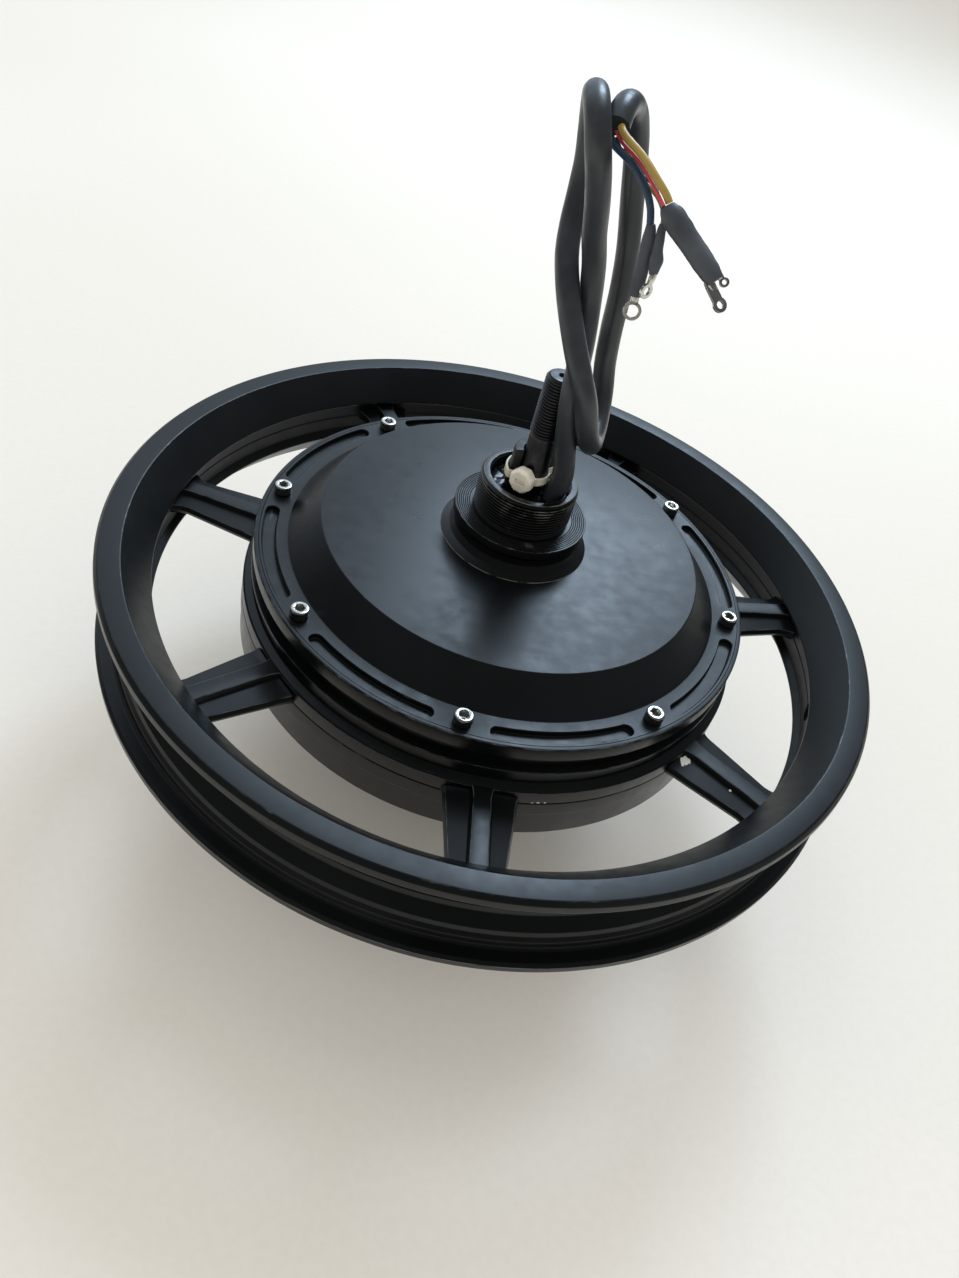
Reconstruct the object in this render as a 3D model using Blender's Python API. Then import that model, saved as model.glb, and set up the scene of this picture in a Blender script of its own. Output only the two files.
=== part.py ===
"""Hub motor wheel: cast rim with seven spokes around a direct-drive hub motor.

The wheel lies flat.  +Z is the axle line, cable side up; the origin is the wheel centre.
Everything is drawn in millimetres and written to the meshes in metres.
"""

import math

import bmesh
import bpy
import numpy as np
from mathutils import Matrix, Vector

MM = 0.001
GAP = 0.3
RING_SEGMENTS = 56

# wheel casting
RIM_RADIUS = 159.3
RIM_HALF_WIDTH = 21.7
RIM_LIP_RADIUS = 138.0
BEAD_SEAT_RADIUS = 152.5
DROP_CENTRE_RADIUS = 145.0
SPOKE_COUNT = 7
SPOKE_FIRST_ANGLE = -99.3
SPOKE_RIB_TOP = 5.5
SPOKE_FLOOR_TOP = 2.5
DRUM_RADIUS = 103.8
DRUM_TOP = 13.1
DRUM_BOTTOM = -0.8
DRUM_BORE = 91.0
VALVE_ANGLE = -20.5
VALVE_HOLE_RADIUS = 4.1

# motor covers
COVER_RADIUS = 101.2
COVER_TOP = 26.1
PLATEAU_RADIUS = 76.6
PLATEAU_TOP = 39.1
BOSS_TOP = 67.5
BOSS_BORE = 15.4
THREAD_RADIUS = 19.3
THREAD_TURNS = 11
THREAD_BOTTOM = 52.3
REAR_FACE = -20.0
REAR_PLATEAU = -33.3

# cover screws
SCREW_COUNT = 8
FRONT_SCREW_ANGLE = 28.04
REAR_SCREW_ANGLE = 17.0
SCREW_PITCH_RADIUS = 94.7
SCREW_HEAD_RADIUS = 3.5
SCREW_HEAD_HEIGHT = 3.8
SCREW_SHANK_RADIUS = 1.95
SCREW_HOLE_RADIUS = 2.3
FRONT_SCREW_LENGTH = 19.0
REAR_SCREW_LENGTH = 24.6
SLOT_RADIUS = 95.5
SLOT_WIDTH = 5.2
SLOT_HALF_ANGLE = 16.3

# axle
AXLE_END = 112.0
AXLE_THREAD_RADIUS = 5.9
AXLE_NECK_RADIUS = 5.4
AXLE_BODY_RADIUS = 14.6

# stator
STATOR_SLOTS = 18
STATOR_RADIUS = 82.6
MAGNETS = 20

# cable bundle: FRONT and SIDE are the level directions the loops are laid out in
FRONT = (-0.31990, -0.94745)
SIDE = (0.94745, -0.31990)
CABLE_DIAMETER = 8.2

# (front, side, height) in millimetres
CABLE_ROUTE = (
    (0.5, 9.6, 50.0), (0.6, 9.7, 58.0), (1.8, 10.2, 65.5), (3.5, 11.2, 71.0),
    (5.8, 10.7, 78.5), (7.8, 8.8, 87.6), (9.0, 6.9, 98.0), (9.3, 5.5, 106.5),
    (8.8, 4.6, 113.0), (5.9, 3.9, 120.6), (3.0, 3.1, 128.0), (-0.6, 0.9, 141.0),
    (0.5, -1.3, 153.4), (5.0, -4.0, 164.6), (10.4, -6.2, 177.4), (13.8, -8.4, 186.8),
    (15.4, -10.4, 193.4), (13.9, -12.4, 199.0), (9.2, -14.3, 202.5), (2.0, -15.8, 203.4),
    (-6.0, -16.5, 201.2), (-13.0, -16.4, 196.0), (-17.2, -15.4, 188.0), (-18.2, -14.0, 178.5),
    (-16.0, -13.3, 169.0), (-11.0, -12.6, 159.8), (-4.0, -11.0, 152.6), (4.4, -6.6, 143.2),
    (10.6, 0.0, 131.0), (15.0, 5.8, 121.5), (16.0, 10.4, 112.7), (14.6, 13.0, 104.5),
    (11.6, 15.0, 98.0), (5.5, 16.8, 92.2), (-3.5, 17.6, 89.4), (-13.0, 17.4, 92.1),
    (-19.4, 16.0, 99.5), (-22.0, 13.4, 110.5), (-22.2, 11.6, 124.0), (-22.0, 10.4, 138.0),
    (-22.0, 8.2, 152.8), (-22.0, 4.6, 168.0), (-21.4, 1.4, 181.5), (-19.4, -0.8, 190.0),
    (-15.5, -2.9, 196.4), (-10.0, -4.8, 200.3), (-4.0, -6.2, 201.7), (2.0, -7.0, 200.7),
    (6.4, -7.2, 198.0),
)
WIRE_ROUTES = {
    "wire_yellow": (2.3, (
        (8.2, -5.7, 198.7), (11.0, -4.2, 197.8), (18.0, 3.2, 195.4), (22.4, 9.0, 192.0),
        (24.0, 12.6, 189.4), (24.6, 14.3, 187.6))),
    "wire_blue": (2.3, (
        (6.4, -8.4, 196.0), (8.8, -7.2, 194.2), (15.4, 0.4, 192.0), (18.6, 6.0, 188.2),
        (20.6, 9.6, 183.4), (22.0, 11.6, 177.6))),
    "wire_red": (1.2, (
        (7.6, -6.7, 196.9), (10.2, -4.4, 195.4), (16.2, 2.4, 193.4), (22.2, 8.8, 189.6),
        (26.2, 13.0, 186.7))),
    "wire_green": (1.2, (
        (6.1, -6.2, 194.8), (9.4, -3.6, 192.4), (14.2, 2.6, 189.8), (18.4, 8.4, 189.2),
        (22.4, 11.0, 187.4), (24.9, 13.0, 185.8))),
    "wire_thin_yellow": (1.5, (
        (7.1, -4.5, 196.2), (9.2, -1.2, 192.0), (12.0, 4.2, 188.0), (18.0, 11.0, 185.8),
        (22.0, 14.0, 183.0), (23.4, 14.7, 179.6))),
}


# ---------------------------------------------------------------- helpers

def clear_scene():
    for obj in list(bpy.data.objects):
        bpy.data.objects.remove(obj, do_unlink=True)
    for mesh in list(bpy.data.meshes):
        bpy.data.meshes.remove(mesh)
    for mat in list(bpy.data.materials):
        bpy.data.materials.remove(mat)


def material(name, colour, metallic, roughness):
    mat = bpy.data.materials.new(name)
    mat.use_nodes = True
    shader = mat.node_tree.nodes["Principled BSDF"]
    shader.inputs["Base Color"].default_value = (*colour, 1.0)
    shader.inputs["Metallic"].default_value = metallic
    shader.inputs["Roughness"].default_value = roughness
    mat.diffuse_color = (*colour, 1.0)
    return mat


def add_object(name, bm, mat, location=(0.0, 0.0, 0.0), sharp=32.0):
    """Write a millimetre bmesh to a named object in metres."""
    bmesh.ops.recalc_face_normals(bm, faces=bm.faces[:])
    bmesh.ops.scale(bm, vec=(MM, MM, MM), verts=bm.verts[:])
    mesh = bpy.data.meshes.new(name)
    bm.to_mesh(mesh)
    bm.free()
    obj = bpy.data.objects.new(name, mesh)
    obj.location = Vector(location) * MM
    bpy.context.scene.collection.objects.link(obj)
    mesh.materials.append(mat)
    shade(mesh, sharp)
    return obj


def shade(mesh, sharp):
    for face in mesh.polygons:
        face.use_smooth = True
    mesh.set_sharp_from_angle(angle=math.radians(sharp))


def spin(profile, segments, start=0.0):
    """Closed (radius, height) profile turned about Z; radius 0 points become poles."""
    bm = bmesh.new()
    columns = []
    poles = {}
    for k in range(segments):
        angle = start + 2 * math.pi * k / segments
        column = []
        for i, (r, z) in enumerate(profile):
            if r < 1e-6:
                if i not in poles:
                    poles[i] = bm.verts.new((0.0, 0.0, z))
                column.append(poles[i])
            else:
                column.append(bm.verts.new((r * math.cos(angle), r * math.sin(angle), z)))
        columns.append(column)
    count = len(profile)
    for k in range(segments):
        a = columns[k]
        b = columns[(k + 1) % segments]
        for i in range(count):
            j = (i + 1) % count
            ring = [a[i], b[i], b[j], a[j]]
            unique = [v for n, v in enumerate(ring) if v not in ring[:n]]
            if len(unique) > 2:
                bm.faces.new(unique)
    return bm


def loft(loops):
    """Solid through closed loops of equal length, capped at both ends."""
    bm = bmesh.new()
    rows = [[bm.verts.new(p) for p in loop] for loop in loops]
    for a, b in zip(rows, rows[1:]):
        for i in range(len(a)):
            j = (i + 1) % len(a)
            bm.faces.new((a[i], a[j], b[j], b[i]))
    bm.faces.new(rows[0])
    bm.faces.new(list(reversed(rows[-1])))
    return bm


def merged(parts):
    """One bmesh holding several separate bmeshes."""
    whole = bmesh.new()
    for part in parts:
        mesh = bpy.data.meshes.new("piece")
        part.to_mesh(mesh)
        part.free()
        whole.from_mesh(mesh)
        bpy.data.meshes.remove(mesh)
    return whole


def cylinder(radius, bottom, top, segments, x=0.0, y=0.0):
    bm = spin(((0.0, bottom), (radius, bottom), (radius, top), (0.0, top)), segments)
    bmesh.ops.translate(bm, vec=(x, y, 0.0), verts=bm.verts[:])
    return bm


def combine(obj, bm, operation):
    """Apply one exact boolean with a millimetre bmesh as the other body."""
    tool = add_object("tool", bm, obj.data.materials[0])
    mod = obj.modifiers.new("cut", "BOOLEAN")
    mod.operation = operation
    mod.solver = "EXACT"
    mod.object = tool
    graph = bpy.context.evaluated_depsgraph_get()
    mesh = bpy.data.meshes.new_from_object(obj.evaluated_get(graph))
    old = obj.data
    obj.modifiers.clear()
    obj.data = mesh
    mesh.name = old.name
    bpy.data.meshes.remove(old)
    tool_mesh = tool.data
    bpy.data.objects.remove(tool, do_unlink=True)
    bpy.data.meshes.remove(tool_mesh)


def tidy(obj, sharp=32.0):
    bm = bmesh.new()
    bm.from_mesh(obj.data)
    bmesh.ops.remove_doubles(bm, verts=bm.verts[:], dist=0.00002)
    bmesh.ops.dissolve_degenerate(bm, edges=bm.edges[:], dist=0.00001)
    bmesh.ops.triangulate(bm, faces=[f for f in bm.faces if len(f.verts) > 4])
    bmesh.ops.recalc_face_normals(bm, faces=bm.faces[:])
    bm.to_mesh(obj.data)
    bm.free()
    shade(obj.data, sharp)


def polar(radius, degrees, z=0.0):
    angle = math.radians(degrees)
    return (radius * math.cos(angle), radius * math.sin(angle), z)


def around(count, first):
    return [first + 360.0 * k / count for k in range(count)]


def cells(angles, radii, heights, filled):
    """Solid made of cylindrical cells; filled(i, j, k) picks angle, radius and height cell."""
    bm = bmesh.new()
    na = len(angles)
    made = {}

    def vert(i, j, k):
        key = (i % na, j, k)
        if key not in made:
            made[key] = bm.verts.new(polar(radii[j], angles[i % na], heights[k]))
        return made[key]

    def has(i, j, k):
        inside = 0 <= j < len(radii) - 1 and 0 <= k < len(heights) - 1
        return inside and filled(i % na, j, k)

    for i in range(na):
        for j in range(len(radii) - 1):
            for k in range(len(heights) - 1):
                if not has(i, j, k):
                    continue
                a, b = i, i + 1
                sides = (
                    ((i - 1, j, k), ((a, j, k), (a, j + 1, k), (a, j + 1, k + 1), (a, j, k + 1))),
                    ((i + 1, j, k), ((b, j, k), (b, j, k + 1), (b, j + 1, k + 1), (b, j + 1, k))),
                    ((i, j - 1, k), ((a, j, k), (a, j, k + 1), (b, j, k + 1), (b, j, k))),
                    ((i, j + 1, k), ((a, j + 1, k), (b, j + 1, k), (b, j + 1, k + 1),
                                     (a, j + 1, k + 1))),
                    ((i, j, k - 1), ((a, j, k), (b, j, k), (b, j + 1, k), (a, j + 1, k))),
                    ((i, j, k + 1), ((a, j, k + 1), (a, j + 1, k + 1), (b, j + 1, k + 1),
                                     (b, j, k + 1))),
                )
                for other, corners in sides:
                    if not has(*other):
                        bm.faces.new([vert(*c) for c in corners])
    return bm


def bundle_point(front, side, height):
    return Vector((FRONT[0] * front + SIDE[0] * side, FRONT[1] * front + SIDE[1] * side, height))


def smooth_path(points, step):
    """Even points along a centripetal Catmull-Rom curve through the given points."""
    pts = [np.array(bundle_point(*p)) for p in points]
    pts = [2 * pts[0] - pts[1]] + pts + [2 * pts[-1] - pts[-2]]
    dense = []
    for p0, p1, p2, p3 in zip(pts, pts[1:], pts[2:], pts[3:]):
        t0 = 0.0
        t1 = t0 + np.linalg.norm(p1 - p0) ** 0.5
        t2 = t1 + np.linalg.norm(p2 - p1) ** 0.5
        t3 = t2 + np.linalg.norm(p3 - p2) ** 0.5
        for t in np.linspace(t1, t2, 24, endpoint=False):
            a1 = (t1 - t) / (t1 - t0) * p0 + (t - t0) / (t1 - t0) * p1
            a2 = (t2 - t) / (t2 - t1) * p1 + (t - t1) / (t2 - t1) * p2
            a3 = (t3 - t) / (t3 - t2) * p2 + (t - t2) / (t3 - t2) * p3
            b1 = (t2 - t) / (t2 - t0) * a1 + (t - t0) / (t2 - t0) * a2
            b2 = (t3 - t) / (t3 - t1) * a2 + (t - t1) / (t3 - t1) * a3
            dense.append((t2 - t) / (t2 - t1) * b1 + (t - t1) / (t2 - t1) * b2)
    dense.append(pts[-2])
    dense = np.array(dense)
    run = np.concatenate([[0.0], np.cumsum(np.linalg.norm(np.diff(dense, axis=0), axis=1))])
    count = max(3, int(round(run[-1] / step)) + 1)
    even = np.linspace(0.0, run[-1], count)
    return [tuple(np.interp(even, run, dense[:, i])[n] for i in range(3)) for n in range(count)]


def cord(name, points, diameter, mat, resolution):
    curve = bpy.data.curves.new(name, "CURVE")
    curve.dimensions = "3D"
    curve.fill_mode = "FULL"
    curve.bevel_depth = diameter / 2 * MM
    curve.bevel_resolution = resolution
    curve.use_fill_caps = True
    spline = curve.splines.new("POLY")
    spline.points.add(len(points) - 1)
    for target, point in zip(spline.points, points):
        target.co = (point[0] * MM, point[1] * MM, point[2] * MM, 1.0)
    curve.materials.append(mat)
    obj = bpy.data.objects.new(name, curve)
    bpy.context.scene.collection.objects.link(obj)
    return obj


# ---------------------------------------------------------------- wheel

def rim_profile():
    upper = [
        (141.5, 6.2), (RIM_LIP_RADIUS, 8.3), (149.6, RIM_HALF_WIDTH), (157.7, RIM_HALF_WIDTH),
        (159.1, 20.3), (RIM_RADIUS, 17.4), (158.0, 16.2), (BEAD_SEAT_RADIUS, 15.6),
        (BEAD_SEAT_RADIUS, 10.2), (DROP_CENTRE_RADIUS, 5.4),
    ]
    lower = [(r, -z) for r, z in reversed(upper)]
    return upper + lower


def drum_profile():
    return [
        (DRUM_BORE, -1.8), (DRUM_RADIUS, -1.8), (DRUM_RADIUS, 5.0), (103.2, 5.6), (100.2, 6.5),
        (100.0, 11.6), (101.0, 12.1), (101.0, DRUM_TOP), (DRUM_BORE, DRUM_TOP),
    ]


def spoke(angle):
    """One spoke: a drafted plate with a raised rib along the middle of both faces."""
    stations = ((98.0, 17.0), (105.0, 14.8), (109.0, 13.5), (136.0, 10.8), (140.0, 12.2),
                (143.4, 15.0))
    turn = Matrix.Rotation(math.radians(angle), 4, "Z")
    loops = []
    for r, w in stations:
        outline = (
            (-w, 0.4), (-w + 1.1, SPOKE_FLOOR_TOP), (-3.6, SPOKE_FLOOR_TOP), (-3.0, SPOKE_RIB_TOP),
            (3.0, SPOKE_RIB_TOP), (3.6, SPOKE_FLOOR_TOP), (w - 1.1, SPOKE_FLOOR_TOP), (w, 0.4),
            (w - 1.1, -2.1), (3.6, -2.1), (3.0, -5.1), (-3.0, -5.1), (-3.6, -2.1),
            (-w + 1.1, -2.1),
        )
        loops.append([turn @ Vector((r, y, z)) for y, z in outline])
    return loft(loops)


def screw_bores(first, bottom, top):
    return merged([
        cylinder(SCREW_HOLE_RADIUS, bottom, top, 8, *polar(SCREW_PITCH_RADIUS, a)[:2])
        for a in around(SCREW_COUNT, first)
    ])


def build_wheel(paint):
    wheel = add_object("wheel_casting", spin(rim_profile(), RING_SEGMENTS), paint)
    combine(wheel, merged([spoke(a) for a in around(SPOKE_COUNT, SPOKE_FIRST_ANGLE)]), "UNION")
    combine(wheel, spin(drum_profile(), RING_SEGMENTS), "UNION")
    combine(wheel, cylinder(DRUM_RADIUS + GAP, -30.0, DRUM_BOTTOM, RING_SEGMENTS), "DIFFERENCE")
    bores = merged([screw_bores(FRONT_SCREW_ANGLE, 6.4, 20.0),
                    screw_bores(REAR_SCREW_ANGLE, -5.0, 4.7)])
    combine(wheel, bores, "DIFFERENCE")
    valve = cylinder(VALVE_HOLE_RADIUS, 135.0, 150.0, 12)
    bmesh.ops.rotate(valve, cent=(0, 0, 0), verts=valve.verts[:],
                     matrix=Matrix.Rotation(math.radians(90), 3, "Y"))
    bmesh.ops.rotate(valve, cent=(0, 0, 0), verts=valve.verts[:],
                     matrix=Matrix.Rotation(math.radians(VALVE_ANGLE), 3, "Z"))
    combine(wheel, valve, "DIFFERENCE")
    tidy(wheel)
    return wheel


# ---------------------------------------------------------------- covers

def front_cover_profile():
    return [
        (98.0, DRUM_TOP + GAP), (98.0, 20.4), (COVER_RADIUS, 20.4), (COVER_RADIUS, 25.5),
        (100.6, COVER_TOP), (88.3, COVER_TOP), (77.3, 38.5), (PLATEAU_RADIUS - 0.7, PLATEAU_TOP),
        (20.0, PLATEAU_TOP), (20.0, 35.6), (23.8, 35.6), (23.8, 24.6), (28.8, 24.6),
        (28.8, 35.3), (73.6, 35.3), (84.8, 22.4), (DRUM_BORE, 22.4),
        (DRUM_BORE, DRUM_TOP + GAP),
    ]


def boss_profile():
    points = [
        (BOSS_BORE, 35.9), (22.5, 35.9), (28.2, 37.4), (29.7, 38.6), (29.1, 40.2), (26.2, 40.9),
        (25.0, 42.4), (25.0, 46.6), (26.5, 48.2), (26.5, 51.2), (26.1, 51.6), (20.2, 51.6),
    ]
    pitch = (BOSS_TOP - 0.3 - THREAD_BOTTOM) / THREAD_TURNS
    for k in range(THREAD_TURNS):
        z = THREAD_BOTTOM + k * pitch
        points.append((THREAD_RADIUS - 0.8, z))
        points.append((THREAD_RADIUS, z + 0.6 * pitch))
    points += [(18.6, BOSS_TOP), (16.2, BOSS_TOP), (BOSS_BORE, BOSS_TOP - 0.8)]
    return points


def kidney(angle, depth_bottom, depth_top):
    half = SLOT_WIDTH / 2
    sweep = SLOT_HALF_ANGLE - math.degrees(half / SLOT_RADIUS)
    outline = []
    for a in np.linspace(-sweep, sweep, 4):
        outline.append(polar(SLOT_RADIUS + half, angle + a))
    end = Vector(polar(SLOT_RADIUS, angle + sweep))
    for t in (45.0, 90.0, 135.0):
        outline.append(tuple(end + Vector(polar(half, angle + sweep + t))))
    for a in np.linspace(sweep, -sweep, 4):
        outline.append(polar(SLOT_RADIUS - half, angle + a))
    end = Vector(polar(SLOT_RADIUS, angle - sweep))
    for t in (225.0, 270.0, 315.0):
        outline.append(tuple(end + Vector(polar(half, angle - sweep + t))))
    return loft([[(x, y, depth_bottom) for x, y, _ in outline],
                 [(x, y, depth_top) for x, y, _ in outline]])


def build_front_cover(paint):
    cover = add_object("front_cover", spin(front_cover_profile(), RING_SEGMENTS), paint)
    combine(cover, spin(boss_profile(), 24), "UNION")
    gaps = around(SCREW_COUNT, FRONT_SCREW_ANGLE + 22.5)
    combine(cover, merged([kidney(a, COVER_TOP - 2.3, COVER_TOP + 3.0) for a in gaps]),
            "DIFFERENCE")
    combine(cover, screw_bores(FRONT_SCREW_ANGLE, 10.0, 32.0), "DIFFERENCE")
    tidy(cover)
    return cover


def rear_cover_profile():
    return [
        (DRUM_RADIUS, DRUM_BOTTOM - GAP), (DRUM_RADIUS, -7.4), (103.2, -7.9), (103.2, -18.8),
        (102.2, REAR_FACE), (88.3, REAR_FACE), (PLATEAU_RADIUS, REAR_PLATEAU),
        (25.0, REAR_PLATEAU), (22.6, -43.2), (21.8, -44.0), (12.0, -44.0), (12.0, -41.8),
        (17.8, -41.8), (17.8, -29.0), (74.0, -29.0), (84.8, -16.6), (DRUM_BORE, -16.6),
        (DRUM_BORE, DRUM_BOTTOM - GAP),
    ]


def build_rear_cover(paint):
    cover = add_object("rear_cover", spin(rear_cover_profile(), 48), paint)
    combine(cover, screw_bores(REAR_SCREW_ANGLE, -26.0, 3.0), "DIFFERENCE")
    tidy(cover)
    return cover


def screw_mesh(length, socket, sides=12):
    """Socket cap screw, head up, underside of the head at the origin."""
    bm = bmesh.new()
    hexagon = []
    for k in range(sides):
        off = math.radians((k * 360.0 / sides) % 60.0 - 30.0)
        hexagon.append(1.5 / math.cos(off))
    top = SCREW_HEAD_HEIGHT
    shapes = (
        (SCREW_SHANK_RADIUS, -length), (SCREW_SHANK_RADIUS, 0.0), (SCREW_HEAD_RADIUS, 0.0),
        (SCREW_HEAD_RADIUS, top - 0.4), (SCREW_HEAD_RADIUS - 0.4, top), (None, top),
        (None, top - 2.0),
    )
    if not socket:
        shapes = shapes[:3] + ((SCREW_HEAD_RADIUS, top),)
    rings = []
    for r, z in shapes:
        ring = []
        for k in range(sides):
            radius = hexagon[k] if r is None else r
            ring.append(bm.verts.new(polar(radius, k * 360.0 / sides, z)))
        rings.append(ring)
    for a, b in zip(rings, rings[1:]):
        for k in range(sides):
            bm.faces.new((a[k], a[(k + 1) % sides], b[(k + 1) % sides], b[k]))
    bm.faces.new(rings[0])
    bm.faces.new(rings[-1])
    return bm


def build_screws(nickel):
    for n, angle in enumerate(around(SCREW_COUNT, FRONT_SCREW_ANGLE), start=1):
        x, y, _ = polar(SCREW_PITCH_RADIUS, angle)
        bm = screw_mesh(FRONT_SCREW_LENGTH, True)
        bmesh.ops.rotate(bm, cent=(0, 0, 0), verts=bm.verts[:],
                         matrix=Matrix.Rotation(math.radians(37.0 * n), 3, "Z"))
        add_object(f"front_cover_screw_{n}", bm, nickel, (x, y, COVER_TOP + GAP))
    for n, angle in enumerate(around(SCREW_COUNT, REAR_SCREW_ANGLE), start=1):
        x, y, _ = polar(SCREW_PITCH_RADIUS, angle)
        bm = screw_mesh(REAR_SCREW_LENGTH, False)
        bmesh.ops.rotate(bm, cent=(0, 0, 0), verts=bm.verts[:],
                         matrix=Matrix.Rotation(math.pi, 3, "X"))
        add_object(f"rear_cover_screw_{n}", bm, nickel, (x, y, REAR_FACE - GAP))


# ---------------------------------------------------------------- motor inside

def build_rotor(steel, magnet):
    profile = ((86.6, -15.4), (90.7, -15.4), (90.7, 21.4), (86.6, 21.4))
    add_object("flux_ring", spin(profile, 48), steel)
    step = 360.0 / MAGNETS
    angles = []
    for k in range(MAGNETS):
        angles += [k * step, (k + 0.86) * step]
    bm = cells(angles, (83.4, 85.6, 86.3), (-12.4, 18.4), lambda i, j, k: j == 1 or i % 2 == 0)
    add_object("magnet_ring", bm, magnet)


def build_stator(core_mat, copper, alloy):
    step = 360.0 / STATOR_SLOTS
    angles = []
    for k in range(STATOR_SLOTS):
        angles += [k * step, (k + 0.42) * step]
    core = cells(angles, (56.0, 63.0, STATOR_RADIUS), (-11.0, 17.0),
                 lambda i, j, k: j == 0 or i % 2 == 0)
    add_object("stator_core", core, core_mat)
    angles = []
    for k in range(STATOR_SLOTS):
        angles += [(k + 0.46) * step, (k + 0.96) * step]
    coils = cells(angles, (63.4, 80.6), (-16.0, -11.3, 17.3, 22.0),
                  lambda i, j, k: k != 1 or i % 2 == 0)
    add_object("stator_windings", coils, copper)
    web = cells([15.0 * k for k in range(24)], (15.0, 22.0, 50.0, 55.6), (-6.0, 12.0),
                lambda i, j, k: j != 1 or i % 4 == 0)
    add_object("stator_spider", web, alloy)


def race(name, r0, r1, z0, z1, mat):
    add_object(name, spin(((r0, z0), (r1, z0), (r1, z1), (r0, z1)), 24), mat)


def ball_cage(name, pitch, thin, ball, count, z, mat):
    """Cage with its balls as one body: a ring that swells into each ball."""
    bm = bmesh.new()
    rows = []
    for n in range(count * 4):
        angle = math.degrees(2 * math.pi * n / (count * 4))
        r = (ball, 0.8 * ball, thin, 0.8 * ball)[n % 4]
        rows.append([bm.verts.new(polar(pitch + r * math.cos(math.radians(60 * k)), angle,
                                        z + r * math.sin(math.radians(60 * k))))
                     for k in range(6)])
    for a, b in zip(rows, rows[1:] + rows[:1]):
        for k in range(6):
            j = (k + 1) % 6
            bm.faces.new((a[k], b[k], b[j], a[j]))
    add_object(name, bm, mat)


def build_bearings(steel, brass, rubber):
    race("front_bearing_inner_race", 15.0, 17.4, 25.4, 34.4, steel)
    race("front_bearing_outer_race", 21.4, 23.5, 25.4, 34.4, steel)
    ball_cage("front_bearing_cage", 19.4, 0.7, 1.6, 8, 29.9, brass)
    race("rear_bearing_inner_race", 7.9, 10.2, -41.4, -30.6, steel)
    race("rear_bearing_outer_race", 14.8, 17.5, -41.4, -30.6, steel)
    ball_cage("rear_bearing_cage", 12.5, 0.9, 1.8, 7, -36.0, brass)
    add_object("rear_oil_seal", spin(((8.0, -43.8), (11.7, -43.8), (11.7, -42.1), (8.0, -42.1)),
                                     24), rubber)


# ---------------------------------------------------------------- axle and cable

def axle_profile():
    neck = AXLE_NECK_RADIUS
    major = AXLE_THREAD_RADIUS
    points = [(0.0, -AXLE_END), (4.8, -AXLE_END), (major, -AXLE_END + 1.1)]
    points += thread_run(-AXLE_END + 1.1, -87.0, major)
    points += [
        (neck, -86.0), (neck, -60.0), (7.5, -60.0), (7.5, -29.0), (11.0, -28.0), (11.0, -18.0),
        (AXLE_BODY_RADIUS, -17.0), (AXLE_BODY_RADIUS, -12.0), (AXLE_BODY_RADIUS, 57.4),
        (neck, 57.4), (neck, 86.0),
    ]
    points += thread_run(87.0, AXLE_END - 1.1, major)
    points += [(4.8, AXLE_END), (1.1, AXLE_END), (1.1, AXLE_END - 3.0), (0.0, AXLE_END - 3.6)]
    return points


def thread_run(low, high, major, turns=5):
    points = []
    pitch = (high - low) / turns
    for k in range(turns):
        points.append((major, low + (k + 0.35) * pitch))
        points.append((major - 0.55, low + (k + 0.85) * pitch))
    points.append((major, high))
    return points


def ring_about(point, ahead, width, height, sides):
    """Ellipse of points round a path point, kept free of twist by one fixed direction."""
    axis = ahead.normalized()
    one = axis.cross(Vector((0.9, -0.3, 0.1))).normalized()
    two = axis.cross(one)
    ring = []
    for k in range(sides):
        a = 2 * math.pi * k / sides
        ring.append(point + one * (width * math.cos(a)) + two * (height * math.sin(a)))
    return ring


def cable_bore(radius):
    points = smooth_path(CABLE_ROUTE, 3.0)[:8]
    first = Vector(points[0])
    low = first - (Vector(points[1]) - first).normalized() * 1.2
    path = [low] + [Vector(p) for p in points]
    loops = []
    for n, point in enumerate(path):
        ahead = path[min(n + 1, len(path) - 1)] - path[max(n - 1, 0)]
        loops.append(ring_about(point, ahead, radius, radius, 12))
    return loft(loops)


def build_axle(steel):
    axle = add_object("axle", spin(axle_profile(), 16), steel)
    combine(axle, cable_bore(CABLE_DIAMETER / 2 + 0.5), "DIFFERENCE")
    tidy(axle)


def bundle_angle(degrees):
    """World angle of a direction measured from SIDE towards FRONT."""
    a = math.radians(degrees)
    x = SIDE[0] * math.cos(a) + FRONT[0] * math.sin(a)
    y = SIDE[1] * math.cos(a) + FRONT[1] * math.sin(a)
    return math.degrees(math.atan2(y, x))


def build_sleeve(rubber):
    """Ribbed boot on the axle, open where the cable and the front of the axle show."""
    steps = 12
    ribs = ((5.9, 62.9), (9.6, 62.9), (9.6, 73.4), (9.1, 73.9), (9.6, 74.4), (9.1, 75.2),
            (9.6, 76.0), (9.1, 76.8), (9.6, 77.6), (9.2, 79.4), (5.9, 79.4))
    loops = []
    for n in range(steps + 1):
        angle = bundle_angle(153.0 + 163.0 * n / steps)
        loops.append([polar(r, angle, z) for r, z in ribs])
    add_object("axle_boot", loft(loops), rubber)


def build_potting(rubber):
    bm = spin(((5.9, 57.7), (14.9, 57.7), (14.9, 61.6), (14.2, 62.3), (5.9, 62.6)), 24)
    pot = add_object("cable_potting", bm, rubber)
    combine(pot, cable_bore(CABLE_DIAMETER / 2 + 0.45), "DIFFERENCE")
    tidy(pot)


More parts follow.
